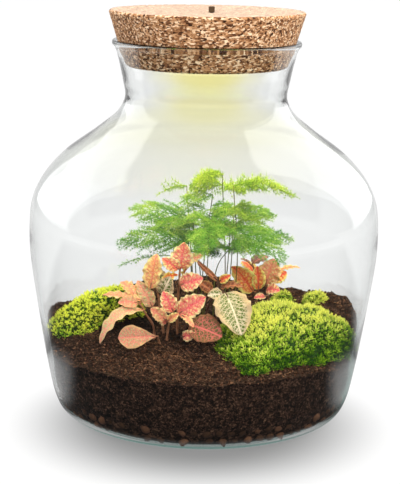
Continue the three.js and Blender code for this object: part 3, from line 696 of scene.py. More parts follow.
@dataclass(frozen=True)
class PressedCork:
    """Granulated cork, pressed and sanded: tan grains of many tones, dark specks, and a top made paler by
    painted light.

    Sizes are in millimetres. Pressing has made the grains longer one way and shorter the others.
    """

    grain: float = 1.15
    speck: float = 1.65
    wander: float = 0.9
    press_turn: tuple = (0.5, 0.6, 0.4)
    press_scale: tuple = (0.55, 1.1, 1.2)
    speck_edge: tuple = (0.24, 0.38)
    speck_share: float = 0.62
    dust_and_top_light: str = "#A29488"
    top_light_most: float = 0.6

    def material(self) -> Material:
        """The cork. Grains are 1 to 2 mm across, as in pressed stoppers."""
        skin = Surface("pressed granular cork", 0.85, Specular_IOR_Level=0.25)
        wobble = skin.noise(grains(1.5), output="Color")
        offset = skin.vector("MULTIPLY_ADD", wobble, (self.wander * MM,) * 3, skin.place)
        pressed = skin.out("ShaderNodeMapping", inputs={
            "Vector": offset, "Rotation": self.press_turn, "Scale": self.press_scale})
        pick = skin.channels(skin.cells(grains(self.grain), pressed)["Color"])
        tones = skin.tones(pick[0], (0.0, "#30190D"), (0.16, "#6C432A"), (0.42, "#A0704A"),
                           (0.72, "#C8986E"), (1.0, "#F8DAB8"))
        fine = skin.noise(grains(0.8), 3.0, 0.7)
        grained = skin.shaded(tones, skin.led(fine, 0.3, 0.7, 0.72, 1.15, smooth=False))
        specks = skin.cells(grains(self.speck), offset)
        near = skin.led(specks["Distance"], *self.speck_edge, 1.0, 0.0, smooth=False)
        few = skin.math("GREATER_THAN", skin.channels(specks["Color"])[1], self.speck_share)
        pore = skin.product(near, few)
        pored = skin.mixed(pore, grained, linear("#452816"))
        # Painted light: faces that look up are mixed towards a pale grey-beige, for the light that falls on
        # the top
        rise = skin.split(skin.out("ShaderNodeNewGeometry", output="True Normal"))["Z"]
        top = skin.led(rise, 0.6, 0.95, 0.0, self.top_light_most, smooth=False)
        skin.set(Base_Color=skin.mixed(top, pored, linear(self.dust_and_top_light)))
        skin.relief(skin.math("SUBTRACT", fine, pore), 0.6, 0.8)
        return skin.material


@dataclass(frozen=True)
class MouldedPlastic:
    """Injection-moulded plastic with a satin skin: even, with a faint orange-peel relief."""

    name: str
    tone: str
    roughness: float = 0.45
    glow: float = 0.0

    def material(self) -> Material:
        """The plastic, which glows if it covers a lamp."""
        skin = Surface(self.name, self.roughness)
        if self.glow:
            skin.set(Emission_Color=linear("#FFE9A0"), Emission_Strength=self.glow)
        cloud = skin.led(skin.noise(grains(12)), 0.0, 1.0, 0.9, 1.1, smooth=False)
        skin.set(Base_Color=skin.shaded(linear(self.tone), cloud))
        skin.relief(skin.noise(grains(0.8)), 0.03)
        return skin.material


@dataclass(frozen=True)
class PottingSoil:
    """Damp peat-and-bark potting soil: near black in the hollows, red-brown on the crumbs, quite matt.

    Each spot of painted shade is its place and its reach in millimetres.
    """

    name: str
    dark: str
    middle: str
    light: str
    grain: float = 1.8
    painted_shade_spots: tuple = ((-50, 5, 36), (-14, -19, 22), (8, 14, 26), (44, 26, 24))
    painted_shade_height: float = 58.0
    damp_tone: float = 0.3

    def material(self) -> Material:
        """The soil. Crumbs are 1 to 3 mm across, and painted shade darkens it round spots under the plants.
        """
        skin = Surface(self.name, 0.95, Specular_IOR_Level=0.15)
        coarse = skin.noise(grains(5 * self.grain), 6.0, 0.7)
        fine = skin.noise(grains(0.5 * self.grain), 3.0)
        pick = skin.channels(skin.cells(grains(self.grain))["Color"])
        blend = skin.math("ADD", coarse, fine)
        crumbs = skin.math("MULTIPLY_ADD", pick[0], 0.5, blend)
        tones = skin.tones(skin.led(crumbs, 0.75, 1.75, smooth=False), (0.0, "#0E0704"),
                           (0.35, self.dark), (0.65, self.middle), (1.0, self.light))
        # Painted shade: the soil is darkened round spots under the leaves, where their shade falls
        unshaded = 1.0
        for x, y, reach in self.painted_shade_spots:
            away = skin.vector("DISTANCE", skin.place, (x * MM, y * MM, self.painted_shade_height * MM))
            dry = skin.led(away, 0.3 * reach * MM, reach * MM, self.damp_tone, 1.0)
            unshaded = skin.math("MINIMUM", dry, unshaded)
        skin.set(Base_Color=skin.shaded(tones, unshaded))
        skin.relief(blend, 0.9)
        return skin.material


@dataclass(frozen=True)
class FiredClay:
    """Expanded clay pebbles: fired red-brown balls, dusty and a little pitted."""

    dark: str = "#22160F"
    middle: str = "#3E2A1E"
    light: str = "#6A4836"

    def material(self) -> Material:
        """The clay, with a tone of its own for each pebble."""
        skin = Surface("fired clay pebbles", 0.9, Specular_IOR_Level=0.2)
        dust_and_top_light = skin.noise(grains(1.5), 4.0, 0.7)
        blend = skin.math("MULTIPLY_ADD", dust_and_top_light, 0.8, skin.attribute("tone"))
        skin.set(Base_Color=skin.tones(skin.led(blend, 0.2, 1.5, smooth=False),
                                       (0.0, self.dark), (0.6, self.middle), (1.0, self.light)))
        skin.relief(dust_and_top_light, 0.3)
        return skin.material


@dataclass(frozen=True)
class GreenPile:
    """Living moss shoots or fern needles: darkened low down by painted shade, and lime where the tips catch
    the light.

    Up to the lower of the two heights, in millimetres, painted shade makes a shoot darker by as much as sunk,
    and above the upper one it is painted a little lighter. The span is the sum of tone, tip, height and
    patches that the darkest and the lightest green stand for, and blend is how much each shoot's own tone
    counts.
    """

    name: str
    base: str
    middle: str
    tip: str
    roughness: float = 0.6
    see_through: float = 0.0
    shade_heights: tuple = (52.0, 82.0)
    span: tuple = (0.4, 1.9)
    sunk: float = -0.65
    blend: float = 0.45

    def material(self) -> Material:
        """The green, from how far up its shoot a point is and from the shoot's own tone."""
        skin = Surface(self.name, self.roughness, Specular_IOR_Level=0.3)
        low, high = self.shade_heights
        shade = skin.math("MULTIPLY_ADD", skin.attribute("tone"), self.blend, skin.attribute("tip"))
        rise = skin.split(skin.place)["Z"]
        # Painted shade and light: low shoots are darkened and high ones lightened by their height in the jar
        lit = skin.led(rise, low * MM, high * MM, self.sunk, 0.25, smooth=False)
        patched = skin.math("ADD", skin.math("ADD", shade, lit), skin.noise(grains(18)))
        tones = skin.tones(skin.led(patched, *self.span, smooth=False),
                           (0.0, self.base), (0.5, self.middle), (1.0, self.tip))
        skin.set(Base_Color=tones)
        if self.see_through:
            skin.see_through(self.see_through, tones)
        return skin.material


@dataclass(frozen=True)
class VeinedLeaf:
    """A fittonia leaf: soft and half matt, with a net of veins in another colour and an uneven pale margin.

    The vein colour floods the middle of the blade as far out as flood, a part of its half width. The other
    sizes are half widths in millimetres, and margin_width is a part of the half width.
    """

    name: str
    between: str
    vein: str
    margin: str
    flood: float = 0.35
    side_vein: float = 0.55
    net_vein: float = 0.16
    margin_width: float = 0.2
    spacing: float = 3.4
    cell: float = 2.3
    ruffle: float = 1.0
    painted_highlight: float = 0.3

    def material(self) -> Material:
        """The leaf, painted from each point's place on its blade, in millimetres."""
        skin = Surface(self.name + " fittonia leaf", 0.48, Specular_IOR_Level=0.4)
        blade = skin.attribute("blade", "Vector")
        place = skin.split(blade)
        mottle = skin.noise(0.5, 4.0, 0.7, blade)
        veins = self._veins(skin, blade, place)
        out = skin.math("ABSOLUTE", skin.split(skin.attribute("part", "Vector"))["Y"])
        uneven = skin.math("MULTIPLY_ADD", mottle, 0.7, out)
        flooded = skin.product(self._band(skin, uneven, self.flood, 0.75 + self.flood), 0.8)
        ground = skin.shaded(linear(self.between), skin.led(mottle, 0.3, 0.7, 0.7, 1.3, smooth=False))
        veined = skin.mixed(skin.math("MAXIMUM", veins, flooded), ground, linear(self.vein))
        # Painted highlights: cream flecks stand for light caught on the crumpled blade
        highlight_spots = self._band(skin, skin.noise(0.8, 3.0, 0.65, blade, 0.6), 0.62, 0.5)
        highlighted = skin.mixed(skin.product(highlight_spots, self.painted_highlight), veined, linear("#FFEFCB"))
        width = 1.3 * self.margin_width
        edge = self._band(skin, uneven, 1.5 - width, 1.1 - width)
        edged = skin.mixed(edge, highlighted, linear(self.margin))
        skin.set(Base_Color=edged)
        skin.relief(veins, -0.3)
        skin.see_through(0.2, edged)
        return skin.material

    def _veins(self, skin: Surface, blade: Socket, place: Outputs) -> Socket:
        """The midrib, the slanting side veins and the fine net between them, from 0 to 1.

        Args:
            skin: The leaf's material.
            blade: The place on the blade.
            place: The same, split.

        Returns:
            How strongly a point is veined.
        """
        aside = skin.math("ABSOLUTE", place["Y"])
        slant = skin.math("MULTIPLY_ADD", aside, -0.75, place["X"])
        wavy = skin.math("MULTIPLY_ADD", skin.noise(0.35, place=blade), 2.2, slant)
        phase = skin.math("PINGPONG", skin.math("DIVIDE", wavy, self.spacing), 0.5)
        width = self.side_vein / self.spacing
        side = self._band(skin, phase, 0.3 * width, 1.1 * width)
        rib = self._band(skin, aside, 0.35, 1.0)
        web = skin.out("ShaderNodeTexVoronoi", {"feature": "DISTANCE_TO_EDGE"}, {
            "Vector": blade, "Scale": 1 / self.cell}, "Distance")
        thread = self.net_vein / self.cell
        net = self._band(skin, web, 0.3 * thread, 1.6 * thread)
        return skin.math("MAXIMUM", skin.math("MAXIMUM", side, rib), skin.product(net, 0.9))

    def _band(self, skin: Surface, value: Socket, full: float, none: float) -> Socket:
        """A smooth mask that is 1 at one value and 0 at another."""
        return skin.led(value, full, none, 1.0, 0.0)


@dataclass(frozen=True)
class SoftStem:
    """A young plant stem: juicy, faintly streaked along its length, with a dull waxy sheen."""

    name: str
    tone: str
    streak: str

    def material(self) -> Material:
        """The stem, streaked from low to high."""
        skin = Surface(self.name, 0.55, Specular_IOR_Level=0.3)
        stretched = skin.out("ShaderNodeMapping", inputs={
            "Vector": skin.place, "Scale": (grains(0.8), grains(0.8), grains(6))})
        streaks = skin.noise(1.0, place=stretched)
        skin.set(Base_Color=skin.tones(streaks, (0.35, self.tone), (0.7, self.streak)))
        return skin.material


class Leaf(Enum):
    """The leaf finishes of the fittonia plants."""

    SALMON = VeinedLeaf("salmon", "#E6C484", "#F48A72", "#F8D69C", 0.05, 0.5, 0.28, 0.12)
    ROSE = VeinedLeaf("rose", "#FFD494", "#F85E6C", "#FFEAB0", 0.25, 0.6, 0.3, 0.12)
    CROWN = VeinedLeaf("orange", "#FFCC80", "#F45C58", "#FFEEAA", 0.05, 0.5, 0.3, 0.14)
    PEACH = VeinedLeaf("peach", "#CFC88C", "#F29C84", "#F2D09A", 0.0, 0.5, 0.26, 0.12)
    BLUSH = VeinedLeaf("blush", "#C8BC86", "#F48C7C", "#F0C08E",
                       -0.12, 0.42, 0.24, 0.08, 2.4, 1.9, 0.3, 0.25)
    OLIVE = VeinedLeaf("olive", "#76643A", "#E87870", "#9C6A48",
                       -0.2, 0.3, 0.16, 0.1, 3.2, 2.4, 0.35, 0.05)
    PALE = VeinedLeaf("pale", "#66762C", "#ECD6BC", "#E0C098",
                      -0.15, 0.4, 0.14, 0.2, 3.4, 2.0, 0.5, 0.12)
    RUST = VeinedLeaf("rust", "#FFC068", "#F2583E", "#FAEA8C",
                      -0.15, 0.4, 0.26, 0.2, 3.4, 2.4, 0.9, 0.2)
    BROWN = VeinedLeaf("brown", "#8A4630", "#D8845C", "#C08A54", 0.0, 0.3, 0.12, 0.14,
                       painted_highlight=0.15)
    HONEY = VeinedLeaf("honey", "#F4C878", "#F08862", "#FAE09A", 0.0, 0.45, 0.26)


# Plant tables, in millimetres as in the part's source

FACING = (0, -1, 0.35)
UPWARD = (0, -0.25, 1)


@dataclass(frozen=True)
class Blade:
    """A leaf: where it starts and ends, its width, the way its upper face looks, its arch and its stalk."""

    base: tuple
    tip: tuple
    width: float
    face: tuple
    arch: float
    start: float
    finish: Leaf
    widest: float = 0.78


@dataclass(frozen=True)
class LeafyStem:
    """A fittonia stem with its leaves."""

    node: str
    foot: tuple
    rise: list
    blades: list
    skin: str = "tan"


LEAFY_STEMS = [
    LeafyStem("fittonia_left_arching_stem", (-34, -24), [(-35, -25, 66), (-40, -28, 75), (-44, -28, 82)], [
        Blade((-44, -26, 84), (-71, -24, 87), 10, UPWARD, 1.5, 1, Leaf.SALMON),
        Blade((-46, -32, 84), (-59, -39, 86), 9, (0.1, -0.8, 0.6), 1.5, 0.9, Leaf.BLUSH),
        Blade((-42, -32, 79), (-71, -49, 59), 11, (-0.3, -0.5, 0.8), 11, 0.8, Leaf.PEACH),
        Blade((-48, -23, 86), (-59, -10, 93), 11, (-0.2, 0.1, 1), 2, 1, Leaf.SALMON),
    ]),
    LeafyStem("fittonia_left_tall_stem", (-28, -15), [(-30, -16, 72), (-32, -17, 86), (-33, -17, 94)], [
        Blade((-37, -22, 92), (-33, -18, 117), 14, (-0.3, -1, 0.1), 2, 0.9, Leaf.HONEY),
        Blade((-36, -19, 78), (-47, -18, 96), 11, (0.1, -1, 0.4), 2, 0.45, Leaf.PEACH),
        Blade((-29, -14, 94), (-18, -10, 98), 9, UPWARD, 1.5, 1, Leaf.RUST),
        Blade((-31, -10, 92), (-38, 8, 99), 12, (-0.2, 0.5, 0.9), 2, 1, Leaf.PALE),
        Blade((-29, -20, 87), (-23, -22, 100), 13, FACING, 2, 0.6, Leaf.PALE),
    ]),
    LeafyStem("fittonia_left_crown_stem", (-18, -13), [(-18, -15, 78), (-17, -17, 96), (-16.5, -18.5, 105)], [
        Blade((-16.5, -20, 106), (-13.5, -23, 127), 17, FACING, 2, 1, Leaf.CROWN),
        Blade((-17.5, -22, 106), (-29, -27, 116), 11, FACING, 1.5, 1, Leaf.CROWN),
        Blade((-12, -19, 111), (0, -20, 117), 9, (0, -0.7, 0.9), 1, 1, Leaf.HONEY),
        Blade((-16, -23, 95), (0, -28, 101), 13, FACING, 2, 0.7, Leaf.ROSE),
        Blade((-15, -9, 92), (-11, 2, 101), 10, (0, 0.8, 0.7), 1.5, 0.6, Leaf.RUST),
    ]),
    LeafyStem("fittonia_left_middle_stem", (-25, -26), [(-24, -28, 66), (-22, -30, 75)], [
        Blade((-20.5, -34, 79), (-28, -34, 93), 12, FACING, 1.5, 1, Leaf.ROSE),
        Blade((-17, -33, 77), (2, -35, 90), 16, FACING, 2, 1, Leaf.ROSE),
        Blade((-26, -37, 74), (-36, -41, 83), 9, FACING, 1, 0.9, Leaf.SALMON),
        Blade((-24, -40, 74), (-16.5, -42, 80), 6, FACING, 1, 0.9, Leaf.HONEY),
        Blade((-25, -33, 71), (-31, -38, 77), 8, FACING, 1, 0.8, Leaf.ROSE),
    ]),
    LeafyStem("fittonia_front_left_stem", (-30, -35), [(-31, -38, 60)], [
        Blade((-31, -41, 63), (-58, -52, 64.5), 17, FACING, 2, 1, Leaf.BLUSH, 2.1),
    ]),
    LeafyStem("fittonia_front_right_stem", (-15, -30), [(-13.5, -33, 62), (-11, -36, 69)], [
        Blade((-9, -38, 71), (14, -50, 66), 21, (0, -1, 0.6), 3, 1, Leaf.OLIVE, 1),
        Blade((-13.5, -40, 62.5), (-4, -47, 67), 8, FACING, 1, 0.3, Leaf.ROSE),
        Blade((-14, -39, 77.5), (-6, -48, 72), 6, (0.5, -0.7, 0.6), 1, 1, Leaf.SALMON),
    ], "purple"),
    LeafyStem("fittonia_pale_stem", (2, -17), [(3, -19, 74), (8, -23, 87), (12, -27, 91)], [
        Blade((16, -31, 92), (27.2, -55, 69), 26, (0.1, -0.8, 0.6), 3.5, 1, Leaf.PALE),
        Blade((14, -31, 91), (3.5, -37, 91.5), 9, (0.1, -0.8, 0.6), 1, 1, Leaf.PALE),
    ], "purple"),
    LeafyStem("fittonia_brown_stem", (10, -4), [(10, -5, 76), (10, -5, 86)], [
        Blade((10.5, -5, 93), (-5, -6, 110), 5, (0.3, -1, 0.5), -2, 1, Leaf.BROWN),
        Blade((12, -6, 93), (20, -8, 98), 6, FACING, 1, 1, Leaf.RUST),
        Blade((13, -8, 89), (29, -11, 91), 9, UPWARD, 1.5, 1, Leaf.BROWN),
        Blade((7, -7, 87), (-3, -9, 93), 8, FACING, 1, 0.9, Leaf.BROWN),
    ], "purple"),
    LeafyStem("fittonia_right_left_stem", (41, 36), [(41, 35, 72), (40, 34, 84), (38, 33, 94)], [
        Blade((38, 30, 77), (21.5, 25, 97), 16, (0.1, -1, 0.3), 2, 0.4, Leaf.RUST),
        Blade((37, 33, 98), (49, 38, 103), 13, UPWARD, 1, 1, Leaf.OLIVE),
        Blade((36, 32, 97), (28, 29, 103), 5, UPWARD, 1, 1, Leaf.BROWN),
        Blade((42, 31, 78), (40.5, 30, 96), 11, (0.2, -1, 0.2), 1.5, 0.4, Leaf.RUST),
        Blade((40, 40, 84), (30, 56, 94), 13, (-0.3, 0.5, 0.9), 2, 0.7, Leaf.RUST),
    ]),
    LeafyStem("fittonia_right_right_stem", (50, 38), [(50, 37, 72), (50, 36.5, 80)], [
        Blade((48, 34, 81), (53, 35, 102), 18, FACING, 2, 1, Leaf.SALMON),
        Blade((56, 37, 88), (74, 39, 92), 7, UPWARD, 3, 1, Leaf.HONEY),
        Blade((48, 29, 78), (58, 25, 79), 10, (0, -0.8, 0.8), 1.5, 0.7, Leaf.ROSE),
        Blade((47, 26, 74), (38.5, 20, 74), 6, (0, -0.8, 0.8), 1, 0.5, Leaf.ROSE),
        Blade((54, 37, 82), (64, 44, 87), 9, (0.4, -0.6, 0.8), 1.5, 1, Leaf.RUST),
        Blade((50, 42, 82), (50, 58, 90), 12, (0.1, 0.4, 1), 2, 1, Leaf.SALMON),
    ]),
]


@dataclass(frozen=True)
class Frond:
    """A fern frond: its foot, the points its stem rises through, its tip, width, tilt, arch and freshness.

    Its side sprays are given by the lowest and highest height on the stem, their number and their reach.
    """

    node: str
    foot: tuple
    rise: list
    tip: tuple
    width: float
    tilt: float
    arch: float
    fresh: float
    sprays: tuple
    lift: tuple = (-9, 6)
    roll: float = 50.0


FRONDS = [
    Frond("fern_frond_left_low", (-7, 10), [(-9, 11, 100), (-11, 9, 119)], (-60, 0, 120.5), 33, -30,
          7, 0.1, (112, 119, 2, 22), (-3, 6)),
    Frond("fern_frond_left_high", (-4, 17), [(-6, 19, 104), (-8, 20, 134)], (-54, 23, 142), 36, -34,
          5, 0.3, (116, 133, 5, 26)),
    Frond("fern_frond_left_back", (0, 24), [(-3, 26, 100), (-6, 28, 124)], (-36, 56, 126), 32, -24,
          5, 0.0, (112, 123, 3, 24)),
    Frond("fern_frond_front", (1, 7), [(3, 6, 100), (4, 3, 132)], (3, -36, 122), 34, 6,
          6, 0.3, (126, 142, 5, 23), (-3, 6)),
    Frond("fern_frond_right_front", (15, 7), [(18, 7, 104), (19, 5, 130)], (58, -16, 114), 34, 34,
          6, 0.5, (116, 129, 4, 24), (-5, 8)),
    Frond("fern_frond_right_low", (8, 14), [(9, 14, 92), (13, 14, 106), (22, 15, 117)], (64, 24, 121), 30, 28,
          5, 0.1, (115, 117, 1, 16), (-2, 4)),
    Frond("fern_frond_right_back", (19, 22), [(21, 24, 104), (22, 26, 138)], (52, 48, 136), 32, 30,
          4, 0.2, (118, 140, 5, 26)),
    Frond("fern_frond_top_left", (-2, 13), [(1, 14, 110), (6, 15, 158)], (-20, 8, 150), 18, -24,
          4, 0.6, (130, 149, 6, 25), (-5, 3)),
    Frond("fern_frond_top_middle", (17, 17), [(16, 18, 110), (13, 18, 166)], (-10, 4, 161), 24, 4,
          4, 0.9, (159, 162, 2, 24), (-3, 0), 8),
    Frond("fern_frond_top_right", (23, 17), [(25, 12, 110), (21, 11, 163)], (68, 8, 157), 20, 6,
          5, 1.0, (126, 149, 6, 24), (-6, 4)),
    Frond("fern_sprig_top_left", (-6, 23), [(-10, 26, 120), (-13, 26, 160)], (-34, 18, 157), 9, -20,
          2, 0.7, (128, 148, 3, 12)),
    Frond("fern_sprig_low_left", (-11, 7), [(-14, 9, 96), (-24, 2, 111)], (-60, -9, 104), 10, -20,
          4, 0.0, (104, 110, 1, 12)),
]


@dataclass(frozen=True)
class Cushion:
    """A moss cushion: its middle, the points its edge runs through, its height and its lean."""

    node: str
    middle: tuple
    edge: list
    height: float
    lean: tuple


CUSHIONS = [
    Cushion("moss_left", (-76, 4), [
        (-114, -16), (-104, -25), (-88, -19), (-77, -10), (-69, 4), (-58, 14), (-44, 24), (-54, 37),
        (-74, 31), (-90, 15), (-106, -4)], 22, (0.6, 0.3)),
    Cushion("moss_right", (62, -25), [
        (11, -43), (20, -71), (36, -96), (52, -82), (75, -62), (95, -46), (108, -36), (111, -18), (97, 0),
        (78, 13), (50, 23), (22, 10), (10, -14)], 20, (-0.08, 0.15)),
    Cushion("moss_tuft_middle", (61, 48), [(69, 48), (61, 56), (53, 49), (61, 41)], 10, (0, 0)),
    Cushion("moss_tuft_right", (86, 36), [(96, 38), (86, 44), (77, 36), (86, 29)], 9, (0, 0)),
]

# Banks and hollows of the ground: height, then the middle and the size
BANKS = [(13, 110, 30, 46), (9, -112, 12, 34), (-5, -98, -50, 32), (-8, 98, -50, 30)]


def soil_height(x: float, y: float) -> float:
    """The soil's height at a place, as in the part's source."""
    banks = sum(h * exp(-((x - cx) ** 2 + (y - cy) ** 2) / size ** 2) for h, cx, cy, size in BANKS)
    lumps = 0.9 * sin(x / 7 + 1.3) * sin(y / 8 + 0.4) + 0.6 * sin(x / 4.1 - y / 5.3)
    return 57 + 6 * y / 110 + banks + lumps


def bow(height: float, part: float) -> float:
    """How high an arch of a given height stands at a part of its span."""
    return 4 * height * part * (1 - part)


def unit(vector: np.ndarray) -> np.ndarray:
    """A vector at length 1."""
    return vector / np.linalg.norm(vector)


def rooted(foot: tuple, rise: list) -> list[tuple]:
    """The points of a stem, from its root in the soil through its foot to where it rises."""
    x, y = foot
    ground = soil_height(x, y)
    return [(x, y, ground - STEM_ROOT), (x, y, ground - 3), (x, y, ground + 1.5), *rise]


def leaning(turn: float, lean: float) -> tuple[np.ndarray, np.ndarray]:
    """The sideways and the forward direction of a leaflet that leans out from upright."""
    side = np.array([-sin(turn), cos(turn), 0])
    return side, np.array(polar(1, turn)) * sin(lean) + (0, 0, cos(lean))


def add_piece(piece: Object, slot: str, *nodes: str) -> Object:
    """Lets a finished piece ride on the part and stand for its nodes.

    Args:
        piece: The finished mesh object.
        slot: The record's material slot. It is not used.
        *nodes: The CAD nodes that it replaces.

    Returns:
        The piece.
    """
    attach(piece, "root")
    if nodes:
        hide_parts(*nodes)
    log.info("%s: %d faces", piece.name, len(piece.data.polygons))
    return piece


def shape_store(name: str, pieces: list[Object]) -> bpy.types.Collection:
    """Keeps small shapes in a collection of their own, out of the scene, for the geometry trees.

    Args:
        name: The collection's name.
        pieces: The shapes.

    Returns:
        The collection.
    """
    store = bpy.data.collections.new(name)
    for piece in pieces:
        bpy.context.scene.collection.objects.unlink(piece)
        store.objects.link(piece)
    return store


def lump(name: str, detail: int, size: float, roughness: float, seed: int) -> Object:
    """A rounded irregular lump, such as a pebble or a crumb.

    Args:
        name: The object's name.
        detail: How finely the ball is divided.
        size: Its radius in millimetres.
        roughness: How far it departs from a ball, as a part of its radius.
        seed: Which lump it is.

    Returns:
        The lump, in metres about its own middle.
    """
    ball = bmesh.new()
    bmesh.ops.create_icosphere(ball, subdivisions=detail, radius=size * MM)
    stretch = Vector((1.0, 0.82 + 0.05 * (seed % 4), 0.72 + 0.06 * (seed % 3)))
    for vertex in ball.verts:
        swell = 1 + roughness * noise.noise(vertex.co / (size * MM) * 0.9 + Vector((seed * 7.1, 0, 0)))
        vertex.co = vertex.co * stretch * swell
    mesh = bpy.data.meshes.new(name)
    ball.to_mesh(mesh)
    ball.free()
    mesh.polygons.foreach_set("use_smooth", [True] * len(mesh.polygons))
    return linked(name, mesh)


# Sub-assemblies


@dataclass
class GlassJar:
    """The blown jar with its thick foot, shoulder, waist and rolled lip."""

    sectors: int = 180
    steps: int = 8
    foot_middle: float = 60.0
    floor_middle: float = 50.0

    def build(self) -> None:
        """Makes the jar as one closed shell of glass."""
        outside = catmull(JAR_OUTSIDE, self.steps)
        inside = catmull(JAR_INSIDE, self.steps)[::-1]
        floor = JAR_INSIDE[0][1]
        profile = np.vstack([[(0, 0)], [(self.foot_middle, 0)], outside, inside,
                             [(self.floor_middle, floor)], [(0, floor)]])
        add_piece(turned_piece("jar_glass", profile, self.sectors, BlownGlass().material()),
                  "clear_glass", "glass_jar")


@dataclass
class Stopper:
    """The tapered cork with its lamp: cup, milky disc, board, battery and touch stud."""

    top: float = 287.0
    bottom: float = 248.8
    top_radius: float = 69.1
    bottom_radius: float = 58.1
    rounding: float = 1.4
    recess_radius: float = 33.3
    recess_top: float = 272.0
    chip: float = 0.55
    cup_radii: tuple = (33.0, 31.5, 30.0)
    cup_heights: tuple = (260.0, 269.7, 271.7)
    disc_radius: float = 31.2
    disc_top: float = 251.3
    stud_at: tuple = (2.7, -25.8)
    stud_size: float = 4.2
    stud_height: float = 3.9
    stud_edge: float = 0.5
    stud_lift: float = 0.3
    stud_stem: tuple = (1.3, 260, 288)

    def build(self) -> None:
        """Makes the cork and the lamp's visible pieces and dresses the hidden ones."""
        self._cork()
        self._lamp()
        self._stud()

    def _cork(self) -> None:
        """Turns the cork finely and lets grains stand out and pores sink in."""
        soft = self.rounding
        profile = densified([
            (0, self.recess_top), (self.recess_radius, self.recess_top), (self.recess_radius, self.bottom),
            (self.bottom_radius - soft, self.bottom), (self.bottom_radius, self.bottom + soft),
            (self.top_radius - 0.3, self.top - soft), (self.top_radius - soft, self.top),
            (0, self.top)], 1.45)
        vertices, faces = turned(profile, 300)
        for point in vertices:
            reach = hypot(point[0], point[1])
            if reach < self.recess_radius + 1 and point[2] < self.top - 1:
                continue
            pore = max(0.0, crumpled(point, 2.6) - 0.15) * 2
            sunk = self.chip * min(1.0, pore) + 0.12 * (1 + crumpled(point, 1.1))
            if point[2] > self.top - 0.05 or point[2] < self.bottom + 0.05:
                point[2] -= copysign(0.6 * sunk, point[2] - self.bottom - 1)
            else:
                point[:2] *= (reach - sunk) / reach
        shape = Shape()
        shape.add(vertices, faces)
        add_piece(shape.mesh("cork_plug", PressedCork().material()), "granular_cork", "cork_stopper")

    def _lamp(self) -> None:
        """Turns the lamp's cup and disc smoothly, and dresses the board and battery."""
        outer, lower, upper = self.cup_radii
        ledge, roof, top = self.cup_heights
        cup = [(0, roof), (upper, roof), (upper, ledge), (lower, ledge), (lower, self.bottom),
               (outer, self.bottom), (outer, top), (0, top)]
        rim = self.disc_radius
        disc = [(0, self.bottom), (rim - 0.6, self.bottom), (rim, self.bottom + 0.6), (rim, self.disc_top),
                (0, self.disc_top)]
        for name, profile, node, slot, finish in (
            ("lamp_cup", cup, "lamp_housing", "lamp_plastic", MouldedPlastic("moulded white ABS", "#E9E6DC")),
            ("lamp_disc", disc, "lamp_diffuser", "milky_diffuser",
             MouldedPlastic("milky acrylic", "#FFF3C4", 0.4, 2.2)),
        ):
            add_piece(turned_piece(name, np.array(profile), 96, finish.material(), smooth=False), slot, node)
        for node, finish in (
            ("lamp_board", MouldedPlastic("green solder mask", "#2F6B4A", 0.4)),
            ("lamp_battery", MouldedPlastic("grey battery foil", "#5A6A78", 0.35)),
        ):
            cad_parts[node].data.materials.clear()
            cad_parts[node].data.materials.append(finish.material())

    def _stud(self) -> None:
        """Makes the small dark stud with rounded edges on its thin stem."""
        block = bmesh.new()
        bmesh.ops.create_cube(block, size=1.0)
        for vertex in block.verts:
            x, y, z = vertex.co
            vertex.co = Vector((x * self.stud_size, y * self.stud_size, (z + 0.5) * self.stud_height))
        bmesh.ops.bevel(block, geom=block.edges[:], offset=self.stud_edge, segments=3, affect="EDGES",
                        profile=0.6)
        x, y = self.stud_at
        radius, foot, head = self.stud_stem
        shape = Shape()
        block.verts.index_update()
        shape.add(np.array([v.co for v in block.verts]) + (x, y, self.top + self.stud_lift),
                  [tuple(v.index for v in face.verts) for face in block.faces])
        block.free()
        shape.add(*tube([(x, y, z) for z in (foot, (foot + head) / 2, head)], np.full(3, radius), 16))
        finish = MouldedPlastic("moulded brown ABS", "#4A3A28", 0.5).material()
        add_piece(shape.mesh("touch_stud", finish), "dark_stud", "lamp_touch_stud")


